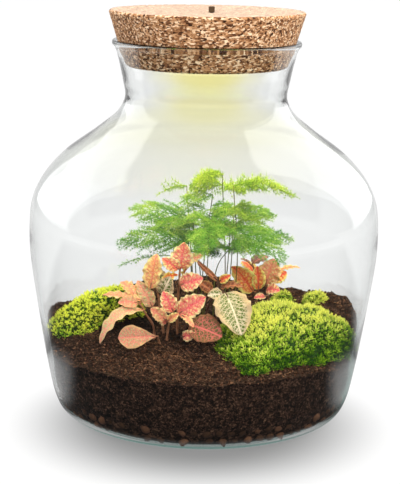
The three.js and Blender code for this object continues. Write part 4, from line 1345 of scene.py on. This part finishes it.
@dataclass
class Ground:
    """The soil with its crumbs and fibres, and the bed of clay pebbles under it."""

    sectors: int = 300
    top_rings: int = 84
    side_rows: int = 34
    gap: float = 0.35
    crumb_spacing: float = 2.7
    fibres: int = 420
    fibre_reach: float = 108.0
    pebble: float = 4.4
    pebble_rows: tuple = (8.4, 15.0)
    core: tuple = ((0, 2.6), (92.0, 2.6), (98.4, 4.4), (101.2, 8.6), (103.4, 15), (105.2, 18.6),
                   (105.6, PEBBLE_TOP), (0, PEBBLE_TOP))

    def build(self, scatter: GeometryTree, bed: GeometryTree) -> None:
        """Makes the soil and the pebbles.

        Args:
            scatter: The tree that stands small shapes on a surface.
            bed: The tree that lays one pebble at each point.
        """
        self._soil(scatter)
        self._fibres()
        self._pebbles(bed)

    def _soil(self, scatter: GeometryTree) -> None:
        """Turns the soil's body, heaves its skin into crumbs and strews loose ones on it.

        Args:
            scatter: The tree that stands small shapes on a surface.
        """
        columns = [self._column(2 * pi * i / self.sectors) for i in range(self.sectors)]
        grid = np.array(columns)
        vertices = np.vstack([grid.transpose(1, 0, 2).reshape(-1, 3), [[0, 0, SOIL_BOTTOM]],
                              [[0, 0, soil_height(0, 0)]]])
        shape = Shape()
        shape.add(vertices, skin_faces(grid.shape[1], self.sectors), tone=np.full(len(vertices), 0.5))
        host = shape.mesh("soil_host", PottingSoil("damp potting soil", *PEAT, 1.1).material())
        crumbs = shape_store("crumbs", [lump(f"crumb_{i}", 1, 1.25, 0.8, i) for i in range(4)])
        bark = PottingSoil("loose bark crumbs", "#24140D", "#5C3B2C", "#B08466").material()
        piece = scatter.grow(host, "soil_body", shapes=crumbs, spacing=self.crumb_spacing * MM, smallest=0.35,
                             largest=1.25, upright=0.0, wobble=1.5, least_rise=0.45, seed=7, finish=bark)
        add_piece(piece, "potting_soil", "soil")

    def _column(self, angle: float) -> list[tuple]:
        """The soil's skin at one angle, up the wall and in to near the middle.

        Args:
            angle: The angle about the axis, in radians.

        Returns:
            The points.
        """
        radius = 112.0
        for _ in range(4):
            height = soil_height(*polar(radius, angle)[:2])
            radius = radius_at(JAR_INSIDE, height) - self.gap
        height += 0.9 * crumpled(polar(40, angle), 2.2)
        points = []
        for i in range(self.side_rows):
            z = SOIL_BOTTOM + (height - SOIL_BOTTOM) * i / self.side_rows
            wall = radius_at(JAR_INSIDE, z) - self.gap
            at = polar(wall, angle, z)
            wall -= 0.9 * max(0.0, 0.5 + 0.5 * crumpled(at, 3.1) + 0.45 * crumpled(at, 1.5))
            points.append(polar(wall, angle, z))
        for i in range(self.top_rings):
            reach = radius * (1 - i / self.top_rings)
            at = np.array(polar(reach, angle))
            x, y = at[:2]
            clods = 1.1 * crumpled(at, 7.5) + 0.8 * crumpled(at + 50, 3.2) + 0.5 * crumpled(at - 50, 1.5)
            fade = min(1.0, i / 3)
            points.append((x, y, height * (1 - fade) + (soil_height(x, y) + clods) * fade))
        return points

    def _fibres(self) -> None:
        """Lays thin root and bark fibres on the soil."""
        rng = np.random.default_rng(21)
        shape = Shape()
        for _ in range(self.fibres):
            angle, reach = rng.uniform(0, 2 * pi), self.fibre_reach * sqrt(rng.uniform(0, 1))
            x, y, _ = polar(reach, angle)
            heading, length, bend = rng.uniform(0, 2 * pi), rng.uniform(3, 11), rng.uniform(-0.5, 0.5)
            points = []
            for _ in range(5):
                points.append((x, y, soil_height(x, y) + 0.9 + rng.uniform(-0.4, 0.8)))
                x += length / 4 * cos(heading)
                y += length / 4 * sin(heading)
                heading += bend
            if hypot(x, y) <= self.fibre_reach:
                shape.add(*tube(points, np.full(5, rng.uniform(0.12, 0.3)), 4))
        finish = PottingSoil("dry root fibre", "#4A3022", "#80593F", "#A98466").material()
        add_piece(shape.mesh("soil_fibres", finish), "potting_soil")

    def _pebbles(self, bed: GeometryTree) -> None:
        """Lays pebbles against the wall in staggered rows and over the floor, round a dark core.

        Args:
            bed: The tree that lays one pebble at each point.
        """
        rng = np.random.default_rng(5)
        points = []
        for row, height in enumerate(self.pebble_rows):
            reach = radius_at(JAR_INSIDE, height) - self.gap - self.pebble * 1.02
            count = int(2 * pi * reach / (2 * self.pebble * 0.94))
            for i in range(count):
                angle = 2 * pi * (i + 0.5 * row + rng.uniform(-0.12, 0.12)) / count
                lift = height + rng.uniform(-0.4, 0.4)
                points.append(polar(reach, angle, lift))
        for reach in range(7, 91, 7):
            count = int(2 * pi * reach / 7)
            for i in range(count):
                angle = 2 * pi * (i + rng.uniform(-0.1, 0.1)) / count
                points.append(polar(reach, angle, 7.0))
        shape = Shape()
        shape.add(np.array(points), [])
        host = shape.mesh("pebble_host")
        balls = shape_store("pebbles", [lump(f"pebble_{i}", 2, self.pebble, 0.35, i) for i in range(5)])
        piece = bed.grow(host, "clay_pebbles", shapes=balls, smallest=0.8, largest=1.02, seed=3,
                         finish=FiredClay().material())
        add_piece(piece, "clay_pebble", "drainage_pebbles")
        skin = PottingSoil("fallen soil between pebbles", *PEAT, 1.1).material()
        add_piece(turned_piece("pebble_core", np.array(self.core), 96, skin), "clay_pebble")


@dataclass
class Moss:
    """The moss cushions and tufts: a dark bed with star-shaped shoots all over it.

    Each ring of leaflets is its lean, number, length, height of its root and lightness.
    """

    spacing: float = 2.35
    tuft_spacing: float = 1.8
    tuft_height: float = 15.0
    leaflet: float = 0.4
    leaflet_rings: tuple = ((1.25, 6, 2.5, -0.9, 0.45), (0.85, 5, 2.5, 0.1, 0.8), (0.35, 3, 2.0, 0.9, 1.0))
    sunk: float = 2.2
    wall_gap: float = 1.6
    sides: int = 96
    rings: int = 26

    def build(self, scatter: GeometryTree) -> None:
        """Makes each cushion.

        Args:
            scatter: The tree that stands small shapes on a surface.
        """
        shoots = shape_store("moss shoots", [self._shoot(i) for i in range(4)])
        # All three take painted shade low down and painted light high up, by their heights
        bed = GreenPile("shaded moss bed", "#1A300A", "#3A5E0E", "#5E8818").material()
        pile = GreenPile("living cushion moss", "#2E6208", "#96BE20", "#F4F27C", 0.6, 0.2,
                         (57, 74), (0.36, 1.45)).material()
        light_pile = GreenPile("sunlit cushion moss", "#38720A", "#9AC822", "#F4F662", 0.6, 0.2,
                               (49, 67), (0.2, 1.35)).material()
        for i, cushion in enumerate(CUSHIONS):
            small = cushion.height < self.tuft_height
            piece = scatter.grow(self._bed(cushion, bed), cushion.node + "_pile", shapes=shoots,
                                 spacing=(self.tuft_spacing if small else self.spacing) * MM, smallest=0.8,
                                 largest=1.5 if small else 1.4, upright=0.4, wobble=0.35, least_rise=-0.25,
                                 seed=11 + i, finish=pile if i else light_pile)
            add_piece(piece, "moss", cushion.node)

    def _shoot(self, seed: int) -> Object:
        """One star of pointed leaflets in three rings, the lowest spread widest and darkest.

        Args:
            seed: Which star it is.

        Returns:
            The star, out of place.
        """
        rng = np.random.default_rng(100 + seed)
        shape = Shape()
        for lean, count, length, root, light in self.leaflet_rings:
            for i in range(count):
                turn = 2 * pi * (i + rng.uniform(-0.25, 0.25)) / count + 3 * lean
                side, axis = leaning(turn, lean + rng.uniform(-0.15, 0.15))
                foot = np.array([0, 0, root])
                middle = foot + axis * length * 0.45
                tip = foot + axis * length * rng.uniform(0.85, 1.15) + (0, 0, 0.25)
                vertices = np.array([foot, middle + side * self.leaflet, middle - side * self.leaflet,
                                     middle + np.cross(side, axis) * 0.2, tip])
                faces = [(0, 1, 3), (0, 3, 2), (1, 4, 3), (3, 4, 2), (0, 2, 1), (1, 2, 4)]
                shape.add(vertices, faces, tip=light * np.array([0.0, 0.5, 0.5, 0.55, 1.0]))
        return shape.mesh(f"moss_shoot_{seed}", smooth=False)

    def _bed(self, cushion: Cushion, finish: Material) -> Object:
        """The cushion's smooth body, a little lower than its solid, so that the shoots reach its height.

        Args:
            cushion: The cushion.
            finish: Its material.

        Returns:
            The body.
        """
        edge = np.array(catmull([*cushion.edge, cushion.edge[0]], 6))[:-1]
        middle = np.array(cushion.middle, float)
        turns = np.arctan2(edge[:, 1] - middle[1], edge[:, 0] - middle[0])
        reaches = np.hypot(edge[:, 0] - middle[0], edge[:, 1] - middle[1])
        order = np.argsort(turns)
        angles = np.linspace(-pi, pi, self.sides, endpoint=False)
        rim = np.interp(angles, turns[order], reaches[order], period=2 * pi)
        rows = []
        for ring in range(self.rings):
            part = (1 - (ring / self.rings) ** 1.2)
            row = []
            for angle, reach in zip(angles, rim):
                dx, dy, _ = polar(part * reach, angle)
                x, y = middle[0] + dx, middle[1] + dy
                far = hypot(x, y)
                dome = (1 - part ** 3) ** 0.7 * (1 + (cushion.lean[0] * dx + cushion.lean[1] * dy) / 50)
                z = soil_height(x, y) - 1 + cushion.height * dome - self.sunk * min(1, dome * 4)
                z += 1.3 * crumpled((x, y, 3), 9) * min(1, 3 * dome)
                pull = min(1.0, (radius_at(JAR_INSIDE, z) - self.wall_gap) / far) if far else 1.0
                row.append((x * pull, y * pull, z))
            rows.append(row)
        grid = np.array(rows)
        under = grid[0] - (0, 0, 4)
        crest = soil_height(*middle) - 1 + cushion.height - self.sunk
        vertices = np.vstack([under, grid.reshape(-1, 3), [under.mean(0)], [[*middle, crest]]])
        shape = Shape()
        shape.add(vertices, skin_faces(self.rings + 1, self.sides), tip=np.zeros(len(vertices)),
                  tone=np.full(len(vertices), 0.5))
        return shape.mesh("moss_bed_host", finish)


@dataclass
class Skeleton:
    """The lines of a frond, with how thick they are, which bear needles and how light each is."""

    points: list = field(default_factory=list)
    edges: list = field(default_factory=list)
    thick: list = field(default_factory=list)
    bears: list = field(default_factory=list)
    tone: list = field(default_factory=list)

    def line(self, points: list, wide: float, bearing: bool, tone: float) -> None:
        """Adds one line that grows thinner to its end.

        Args:
            points: The points that it runs through.
            wide: Its radius at its start, in millimetres.
            bearing: Whether needles grow on it.
            tone: How light it is, from 0 to 1.
        """
        first, count = len(self.points), len(points)
        self.points.extend(points)
        self.edges.extend((first + i, first + i + 1) for i in range(count - 1))
        self.thick.extend(MM * wide * (1 - 0.6 * i / (count - 1)) for i in range(count))
        self.bears.extend([1.0 if bearing else 0.0] * count)
        self.tone.extend([tone] * count)

    def host(self, name: str) -> Object:
        """The lines as a mesh object for the needle tree."""
        shape = Shape()
        shape.add(np.array(self.points), [], thick=self.thick, bears=self.bears, tone=self.tone)
        return shape.mesh(name, edges=self.edges)


@dataclass(frozen=True)
class Spray:
    """One flat spray: where it starts and ends, its width, its sideways tilt and its arch."""

    start: tuple
    tip: tuple
    width: float
    tilt: float
    arch: float


@dataclass
class Fern:
    """The asparagus fern: tiers of flat feathery sprays of fine needles on wiry stems."""

    rib: float = 0.28
    rib_tip: float = 0.16
    branch: float = 0.15
    branch_angle: float = 52.0
    branch_spacing: float = 4.2
    branch_curl: float = 0.3
    twig: float = 4.6
    twig_radius: float = 0.1
    twig_angle: float = 46.0
    twig_spacing: float = 2.3
    needle: float = 3.1
    needle_half: float = 0.21
    tuft_spacing: float = 1.9
    side_droop: float = 0.014
    golden_turn: float = 137.5

    def build(self, twigs: GeometryTree) -> None:
        """Makes each frond.

        Args:
            twigs: The tree that sets tufts of needles along the twigs.
        """
        tuft = self._tuft()
        shape_store("fern tufts", [tuft])
        # The needles take painted shade below 105 mm and painted light above 170 mm
        young, fresh, grown = (
            GreenPile(name, base, middle, tip, 0.5, 0.3, (105, 170), (0.3, full), sunk, blend).material()
            for name, base, middle, tip, full, sunk, blend in (
                ("young fern needles", "#6A9A24", "#9CC038", "#CCDE60", 2.1, -0.3, 0.9),
                ("fresh fern needles", "#458A20", "#80BC36", "#D0E66A", 2.0, -0.35, 1.0),
                ("grown fern needles", "#36721C", "#70AC34", "#C6DE66", 2.0, -0.35, 1.0)))
        wiry = SoftStem("wiry fern stem", "#3E4A1E", "#6E6A34").material()
        for i, frond in enumerate(FRONDS):
            skeleton = Skeleton()
            rng = np.random.default_rng(400 + i)
            self._spray(skeleton, Spray(frond.rise[-1], frond.tip, frond.width, frond.tilt, frond.arch), rng)
            for spray in self._side_sprays(frond, rng, 50.0 * i):
                self._spray(skeleton, spray, rng)
            finish = young if frond.fresh > 0.65 else fresh if frond.fresh > 0.25 else grown
            piece = twigs.grow(skeleton.host(frond.node + "_lines"), frond.node + "_needles", tuft=tuft,
                               spacing=self.tuft_spacing * MM, smallest=0.7, largest=1.2, seed=31 + i,
                               finish=finish)
            add_piece(piece, "fern", frond.node)
            route = catmull(rooted(frond.foot, frond.rise), 6)
            shape = Shape()
            shape.add(*tube(route, np.linspace(0.5, 0.32, len(route)), 8))
            add_piece(shape.mesh(frond.node + "_wire", wiry), "fern")

    def _tuft(self) -> Object:
        """A small bunch of needles that spread forward along the twig, which runs along +Z."""
        shape = Shape()
        half = self.needle_half
        for i, (turn, lean) in enumerate(((0.2, 0.85), (1.9, 0.7), (3.3, 0.9), (4.7, 0.75), (5.6, 0.35))):
            side, axis = leaning(turn, lean)
            end = axis * self.needle * (1 - 0.07 * i)
            vertices = np.array([side * half, -side * half, np.cross(side, axis) * half * 1.4, end])
            faces = [(0, 2, 3), (2, 1, 3), (1, 0, 3), (0, 1, 2)]
            shape.add(vertices, faces, tip=[0.1, 0.1, 0.1, 1.0])
        return shape.mesh("fern_tuft", smooth=False)

    def _side_sprays(self, frond: Frond, rng: np.random.Generator, first_turn: float) -> list[Spray]:
        """The shorter sprays round the upper part of a frond's stem, each turned on from the last.

        Args:
            frond: The frond.
            rng: The frond's own seeded random numbers.
            first_turn: Which way the lowest spray points, in degrees.

        Returns:
            The sprays.
        """
        lowest, highest, count, reach = frond.sprays
        xs, ys, zs = zip(*frond.rise)
        sprays = []
        for i in range(count):
            z = lowest + (highest - lowest) * i / max(1, count - 1)
            x, y = np.interp(z, zs, xs), np.interp(z, zs, ys)
            turn = radians(first_turn + self.golden_turn * i)
            length = reach * rng.uniform(0.8, 1.1) * (1 - 0.2 * i / max(1, count))
            tip = (x + length * cos(turn), y + length * sin(turn), z + rng.uniform(*frond.lift))
            tilt = rng.uniform(-1, 1) * frond.roll
            sprays.append(Spray((x, y, z), tip, 0.85 * length, tilt, 0.12 * length))
        return sprays

    def _spray(self, skeleton: Skeleton, spray: Spray, rng: np.random.Generator) -> None:
        """Adds a spray's rib, branches and twigs to the frond's lines.

        Args:
            skeleton: The frond's lines.
            spray: The spray.
            rng: The frond's own seeded random numbers.
        """
        start = np.array(spray.start, float)
        along = np.array(spray.tip, float) - start
        length = np.linalg.norm(along)
        along = unit(along)
        level = Vector(unit(np.cross((0, 0, 1.0), along)))
        across = np.array(Matrix.Rotation(radians(spray.tilt), 3, Vector(along)) @ level)
        up = np.cross(along, across)

        def place(a: float, c: float, lift: float) -> np.ndarray:
            """A point of the spray from how far along and across it lies."""
            height = bow(spray.arch, a / length) - self.side_droop * c * c + lift
            return start + along * a + across * c + up * height

        for part, count, wide, bearing, tone in (
            (0, 12, self.rib, False, 0.2), (0.55, 6, self.rib_tip, True, 0.7),
        ):
            skeleton.line([place(a, 0, 0) for a in np.linspace(length * part, length, count)],
                          wide, bearing, tone)
        angle = radians(self.branch_angle)
        full = spray.width / 2 / sin(angle) * 1.15
        for i in range(max(2, int((length - 3) / self.branch_spacing))):
            for sign in (1, -1):
                at = 1.5 + (i + (0.5 if sign < 0 else 0)) * self.branch_spacing + rng.uniform(-0.8, 0.8)
                reach = full * (1.1 - 0.9 * at / length) * rng.choice((0.7, 1.0, 1.12))
                if reach < 1.5:
                    continue
                lift, bend, tone = rng.uniform(-2.4, 2.4), rng.uniform(-0.16, 0.16), rng.uniform(0, 1)

                def on_branch(s: float) -> tuple[float, float]:
                    """How far along and across the spray a part of the branch lies."""
                    turned_by = angle + bend - self.branch_curl * s
                    return at + reach * s * cos(turned_by), reach * s * sin(turned_by)

                steps = max(3, int(reach / 2.5) + 1)
                route = [(*on_branch(s), lift * s ** 1.5) for s in np.linspace(0, 1, steps)]
                skeleton.line([place(a, sign * c, h) for a, c, h in route], self.branch, True, tone)
                twigs = int((0.86 * reach - 1.2) / self.twig_spacing) if spray.width > 11 else 0
                for j in range(twigs):
                    for hand in (1, -1):
                        s = (1.2 + (j + (0.5 if hand < 0 else 0)) * self.twig_spacing) / reach
                        size = self.twig * (1.1 - 0.75 * s) * rng.uniform(0.7, 1.15)
                        turn = angle + bend - self.branch_curl * s + hand * radians(self.twig_angle)
                        a, c = on_branch(s)
                        tilt = rng.uniform(-0.55, 0.55)
                        ends = [place(a + size * t * cos(turn), sign * (c + size * t * sin(turn)),
                                      lift * s ** 1.5 + tilt * size * t) for t in (0, 1)]
                        light = min(1.0, max(0.0, tone + rng.uniform(-0.3, 0.3)))
                        skeleton.line(ends, self.twig_radius, True, light)


@dataclass
class Fittonia:
    """The fittonia plants: soft stems with waved, veined leaves in pairs.

    Wave numbers are waves along a blade, and depths are parts of its width or millimetres.
    """

    rows: int = 30
    columns: int = 16
    thickness: float = 0.45
    fullness: float = 0.58
    stem_radius: float = 0.95
    petiole_radius: float = 0.65
    petiole_end: float = 0.4
    petiole_sink: float = 0.16
    swells: float = 2.3
    swell_depth: float = 0.05
    frills: float = 4.3
    frill_depth: float = 0.085
    scallops: float = 5.1
    scallop_depth: float = 0.07
    quilt_spacing: float = 3.2
    quilt_depth: float = 0.22
    crease_depth: float = 0.35

    def build(self) -> None:
        """Makes each leafy stem as one piece with its leaf and stem finishes."""
        leaves = {leaf: leaf.value.material() for leaf in Leaf}
        skins = {
            "tan": SoftStem("tan fittonia stem", "#86563E", "#B07C5E").material(),
            "purple": SoftStem("purple fittonia stem", "#4C302A", "#6E4E3C").material(),
        }
        slots = {Leaf.PALE: "pale_leaf", Leaf.BROWN: "brown_leaf"}
        for plant in LEAFY_STEMS:
            shape = Shape()
            points = rooted(plant.foot, plant.rise)
            route = catmull(points, 8)
            along = np.linspace(0, 1, len(route))
            # The stem swells a little at each pair of leaves
            radii = self.stem_radius * (1 - 0.25 * along + 0.1 * np.cos(9 * pi * along))
            self._add_stalk(shape, route, radii, 10)
            used = list(dict.fromkeys(blade.finish for blade in plant.blades))
            for number, blade in enumerate(plant.blades):
                self._add_petiole(shape, blade, points)
                self._add_blade(shape, blade, 1 + used.index(blade.finish), number)
            finishes = [skins[plant.skin], *(leaves[finish] for finish in used)]
            piece = shape.mesh(plant.node + "_leaves", *finishes)
            add_piece(piece, slots.get(used[0], "pink_leaf"), plant.node)

    def _add_stalk(self, shape: Shape, route: np.ndarray, radii: np.ndarray, sides: int) -> None:
        """Adds a stalk, with no place on a blade."""
        vertices, faces = tube(route, radii, sides)
        nowhere = np.zeros((len(vertices), 3))
        shape.add(vertices, faces, blade=nowhere, part=nowhere)

    def _add_petiole(self, shape: Shape, blade: Blade, points: list) -> None:
        """Adds the stalk of a leaf, from the stem into the blade's underside.

        Args:
            shape: The stem's shape, which takes the stalk.
            blade: The blade.
            points: The stem's points.
        """
        curve = catmull(points, 24)
        first = 2 / (len(points) - 1)
        start = curve[int(round((first + (1 - first) * blade.start) * (len(curve) - 1)))]
        base, tip = np.array(blade.base, float), np.array(blade.tip, float)
        up = unit(np.array(blade.face, float))
        end = base + (tip - base) * self.petiole_sink + up * bow(blade.arch, self.petiole_sink)
        ends = [start, base, end] if np.linalg.norm(start - base) > 2.4 else [start, end]
        route = catmull(ends, 6)
        self._add_stalk(shape, route, np.linspace(self.petiole_radius, self.petiole_end, len(route)), 8)

    def _add_blade(self, shape: Shape, blade: Blade, slot: int, number: int) -> None:
        """Adds a blade with its waved edge, folded rib and quilted face, closed all round.

        Args:
            shape: The stem's shape, which takes the blade.
            blade: The blade.
            slot: Which of the piece's materials it takes.
            number: Its place on the stem, which shifts its waves.
        """
        start, tip = np.array(blade.base, float), np.array(blade.tip, float)
        length = np.linalg.norm(tip - start)
        along = unit(tip - start)
        up = np.array(blade.face, float)
        up = unit(up - along * up.dot(along))
        across = np.cross(up, along)
        tops, bottoms, places, parts = [], [], [], []
        shift = 1.7 * number
        ruffle = blade.finish.value.ruffle
        for i in range(self.rows + 1):
            u = i / self.rows
            turn = 2 * pi * u
            half = (blade.width / 2) * max(0.06, sin(pi * u ** blade.widest) ** self.fullness)
            for j in range(self.columns + 1):
                v = 2 * j / self.columns - 1
                swell = self.swell_depth * blade.width * v * v * sin(pi * u) * sin(
                    self.swells * turn + (0.6 if v > 0 else 3.1))
                frill = self.frill_depth * ruffle * blade.width * abs(v) ** 2.5 * sin(
                    self.frills * turn + shift + (1.2 if v > 0 else 4))
                scallop = 1 + self.scallop_depth * ruffle * abs(v) ** 3 * sin(
                    self.scallops * turn + shift + v)
                quilt = self.quilt_depth * (1 - v * v) * sin(
                    2 * pi * (length * u - 0.8 * abs(v) * half) / self.quilt_spacing)
                crease = -self.crease_depth * exp(-(v * half) ** 2 / 0.8)
                relief = (frill + quilt * min(1, half / 4) + crease) * sin(pi * u) ** 0.5
                lift = bow(blade.arch, u) + 0.2 * half * v * v + swell + relief
                centre = start + along * length * u + across * half * v * scallop + up * lift
                thin = self.thickness * (1 - 0.55 * abs(v) ** 6)
                tops.append(centre + up * thin / 2)
                bottoms.append(centre - up * thin / 2)
                places.append((length * u, half * v, 0))
                parts.append((u, v, shift))
        shape.add(np.array(tops + bottoms), self._blade_faces(len(tops)), slot,
                  blade=places * 2, part=parts * 2)

    def _blade_faces(self, count: int) -> list[tuple]:
        """The faces of a blade's upper side, lower side and rim.

        Args:
            count: How many points each side has.

        Returns:
            The faces.
        """
        wide = self.columns + 1
        faces = []
        for i in range(self.rows):
            for j in range(self.columns):
                a, b = i * wide + j, (i + 1) * wide + j
                faces += [(a, b, b + 1, a + 1), (count + a, count + a + 1, count + b + 1, count + b)]
        rim = list(range(self.columns)) + [i * wide + self.columns for i in range(self.rows)]
        rim += [self.rows * wide + j for j in range(self.columns, 0, -1)]
        rim += [i * wide for i in range(self.rows, 0, -1)]
        return faces + [(a, b, count + b, count + a) for a, b in zip(rim, rim[1:] + rim[:1])]


# Stage


@dataclass
class Studio:
    """The pale floor, the soft lamps, the jar's own lamp light and the camera.

    Places on the floor are in metres. A pair says where a light on it is nothing and where it is full, or the
    other way round where the second is the smaller. A window is its side, the degrees from the front where it
    starts and ends, and those of its lower and upper edge.
    """

    camera_at: tuple = (0, -0.952, 0.3465)
    pitch: float = radians(90) - 0.2324
    roll: float = radians(1.0)
    focal_pixels: float = 1351.0
    frame_height: float = 484.0
    axis_shift: float = 3.6
    floor_side: float = 12000.0
    shade_centre: tuple = (-0.001, -0.044, 0)
    shade_form: tuple = (0.98, 1, 1)
    shade_reach: tuple = (0.058, 0.145)
    shade_depth: float = 0.27
    ambient: float = 0.5
    mirror_dark: float = 0.04
    mirror_sky: float = 0.2
    mirror_bright: float = 0.8
    floor_behind: tuple = (0.05, 0.13)
    sky_behind: tuple = (0.72, 0.92)
    foot_reach: tuple = (0.1, 0.115)
    foot_bright: float = 0.5
    flank_start: tuple = (0.1, 0.13)
    flank_front: tuple = (-0.06, -0.01)
    flank_end: tuple = (0.2, 0.16)
    flank_bright: float = 0.6
    strip_start: tuple = (0.95, 1.05)
    strip_end: tuple = (1.9, 1.7)
    strip_bright: float = 0.9
    wall_light: float = 0.6
    wall_start: tuple = (0.7, 0.95)
    window_light: float = 1.5
    window_edge: float = 1.5
    windows: tuple = ((-1, 98, 150, -6, 56), (1, 113, 158, -4, 66))

    def build(self) -> None:
        """Sets the stage round the jar."""
        bpy.context.scene.view_settings.view_transform = "Standard"
        self._floor()
        self._surroundings()
        self._lamps()
        self._camera()

    def _floor(self) -> None:
        """A wide white floor that glows, with a painted shadow round the jar where its glow falls off; its
        dark grey paint takes only a little real shadow from the lamps.

        The glass mirrors it and lights its wall from it as from a dim room with a few bright places.
        """
        side = self.floor_side
        surface = Surface("matt white paper", 0.9, Specular_IOR_Level=0.0)
        # Painted shadow: the floor's glow falls off round a point just in front of the jar
        away = surface.vector("DISTANCE", surface.vector("MULTIPLY", surface.place, self.shade_form),
                              self.shade_centre)
        surface.set(Base_Color=linear("#2A2A2A"), Emission_Color=linear("#FFFFFF"),
                    Emission_Strength=surface.led(away, *self.shade_reach, self.shade_depth, 1.0))
        place = surface.split(surface.place)
        out = surface.vector("LENGTH", surface.place)
        behind = surface.led(place["Y"], *self.floor_behind, self.mirror_dark, self.mirror_bright)
        under = surface.led(out, *self.foot_reach, self.foot_bright, 0.0)
        flanks = surface.product(
            surface.led(surface.math("ABSOLUTE", place["X"]), *self.flank_start, 0.0, self.flank_bright),
            surface.led(out, *self.flank_end), surface.led(place["Y"], *self.flank_front))
        strip = surface.product(surface.led(out, *self.strip_start, 0.0, self.strip_bright),
                                surface.led(out, *self.strip_end))
        path = surface.add("ShaderNodeLightPath").outputs
        within = surface.math("MINIMUM", path["Transmission Depth"], self.wall_light)
        wall = surface.product(within, surface.led(out, *self.wall_start))
        level = behind
        for more in (under, flanks, strip, wall):
            level = surface.math("MAXIMUM", level, more)
        dim = surface.out("ShaderNodeEmission", inputs={"Color": (1, 1, 1, 1), "Strength": level})
        surface.covered(surface.math("MINIMUM", path["Glossy Depth"], 1.0), dim)
        shape = Shape()
        shape.add([(-side, -side, 0), (side, -side, 0), (side, side, 0), (-side, side, 0)], [(0, 1, 2, 3)])
        shape.mesh("studio_floor", surface.material, smooth=False)

    def _surroundings(self) -> None:
        """White surroundings, of which the glass mirrors only a dim room with two large windows."""
        world = bpy.data.worlds.new("studio surroundings")
        bpy.context.scene.world = world
        world.use_nodes = True
        tree = NodeTree(world.node_tree)
        tree.tree.nodes.clear()
        part = tree.split(tree.out("ShaderNodeTexCoord", output="Generated"))
        ahead = tree.math("MULTIPLY", part["Y"], -1.0)
        rise = tree.math("ARCSINE", part["Z"])
        path = tree.add("ShaderNodeLightPath").outputs
        within = tree.math("MINIMUM", path["Transmission Depth"], self.wall_light)
        sky = tree.math("MAXIMUM", within, self.mirror_sky)
        light = tree.led(part["Y"], *self.sky_behind, sky, self.mirror_bright)
        for side, front, rear, low, high in self.windows:
            turn = tree.math("ARCTAN2", tree.math("MULTIPLY", part["X"], side), ahead)
            shown = self.window_light
            for value, edge, way in ((turn, front, 1), (turn, rear, -1), (rise, low, 1), (rise, high, -1)):
                soft = self.window_edge * way
                ends = radians(edge - soft), radians(edge + soft)
                shown = tree.product(tree.led(value, *ends), shown)
            light = tree.math("ADD", shown, light)
        seen = tree.led(path["Is Diffuse Ray"], 0.0, 1.0, 1.0, self.ambient, smooth=False)
        once = tree.math("MINIMUM", path["Glossy Depth"], 1.0)
        level = tree.out("ShaderNodeMix", {"data_type": "FLOAT"}, {
            "Factor_Float": once, "A_Float": seen, "B_Float": light})
        ground = tree.out("ShaderNodeBackground", inputs={"Color": (1, 1, 1, 1), "Strength": level})
        tree.add("ShaderNodeOutputWorld", inputs={"Surface": ground})

    def _lamps(self) -> None:
        """Softboxes high at both sides and in front, and the jar's own lamp. The glass mirrors none."""
        for name, at, aim, size, power, colour in (
            ("left softbox", (-0.78, 0.33, 1.1), 0.12, 0.8, 17, "#FFFFFF"),
            ("right softbox", (0.74, 0.4, 1.1), 0.12, 0.8, 24, "#FFFDF6"),
            ("key softbox", (0.3, -0.85, 0.95), 0.1, 0.6, 17, "#FFFAF2"),
            ("jar lamp", (0, 0, 0.246), 0.0, 0.05, 0.15, "#FFE27A"),
        ):
            lamp = bpy.data.lights.new(name, "AREA")
            lamp.shape = "RECTANGLE"
            lamp.size = lamp.size_y = size
            lamp.energy = power
            lamp.color = linear(colour)[:3]
            holder = linked(name, lamp)
            holder.location = at
            holder.rotation_euler = (Vector((0, 0, aim)) - Vector(at)).to_track_quat("-Z", "Y").to_euler()
            holder.visible_glossy = False
            holder.visible_transmission = False

    def _camera(self) -> None:
        """The camera where the photograph was taken from."""
        camera = bpy.data.cameras.new("camera")
        camera.sensor_fit = "VERTICAL"
        camera.sensor_height = 36.0
        camera.lens = self.focal_pixels / self.frame_height * camera.sensor_height
        camera.shift_x = -self.axis_shift / self.frame_height
        camera.clip_end = 100
        holder = linked("camera", camera)
        turn = Matrix.Rotation(self.pitch, 4, "X") @ Matrix.Rotation(self.roll, 4, "Z")
        holder.matrix_world = Matrix.Translation(self.camera_at) @ turn
        bpy.context.scene.camera = holder


def main() -> None:
    """Builds the terrarium round the frame."""
    logging.basicConfig(level=logging.INFO, format="%(message)s")
    scatter, twigs, bed = scatter_tree(), twig_tree(), bed_tree()
    Studio().build()
    GlassJar().build()
    Stopper().build()
    Ground().build(scatter, bed)
    Moss().build(scatter)
    Fern().build(twigs)
    Fittonia().build()


if __name__ == "__main__":
    main()
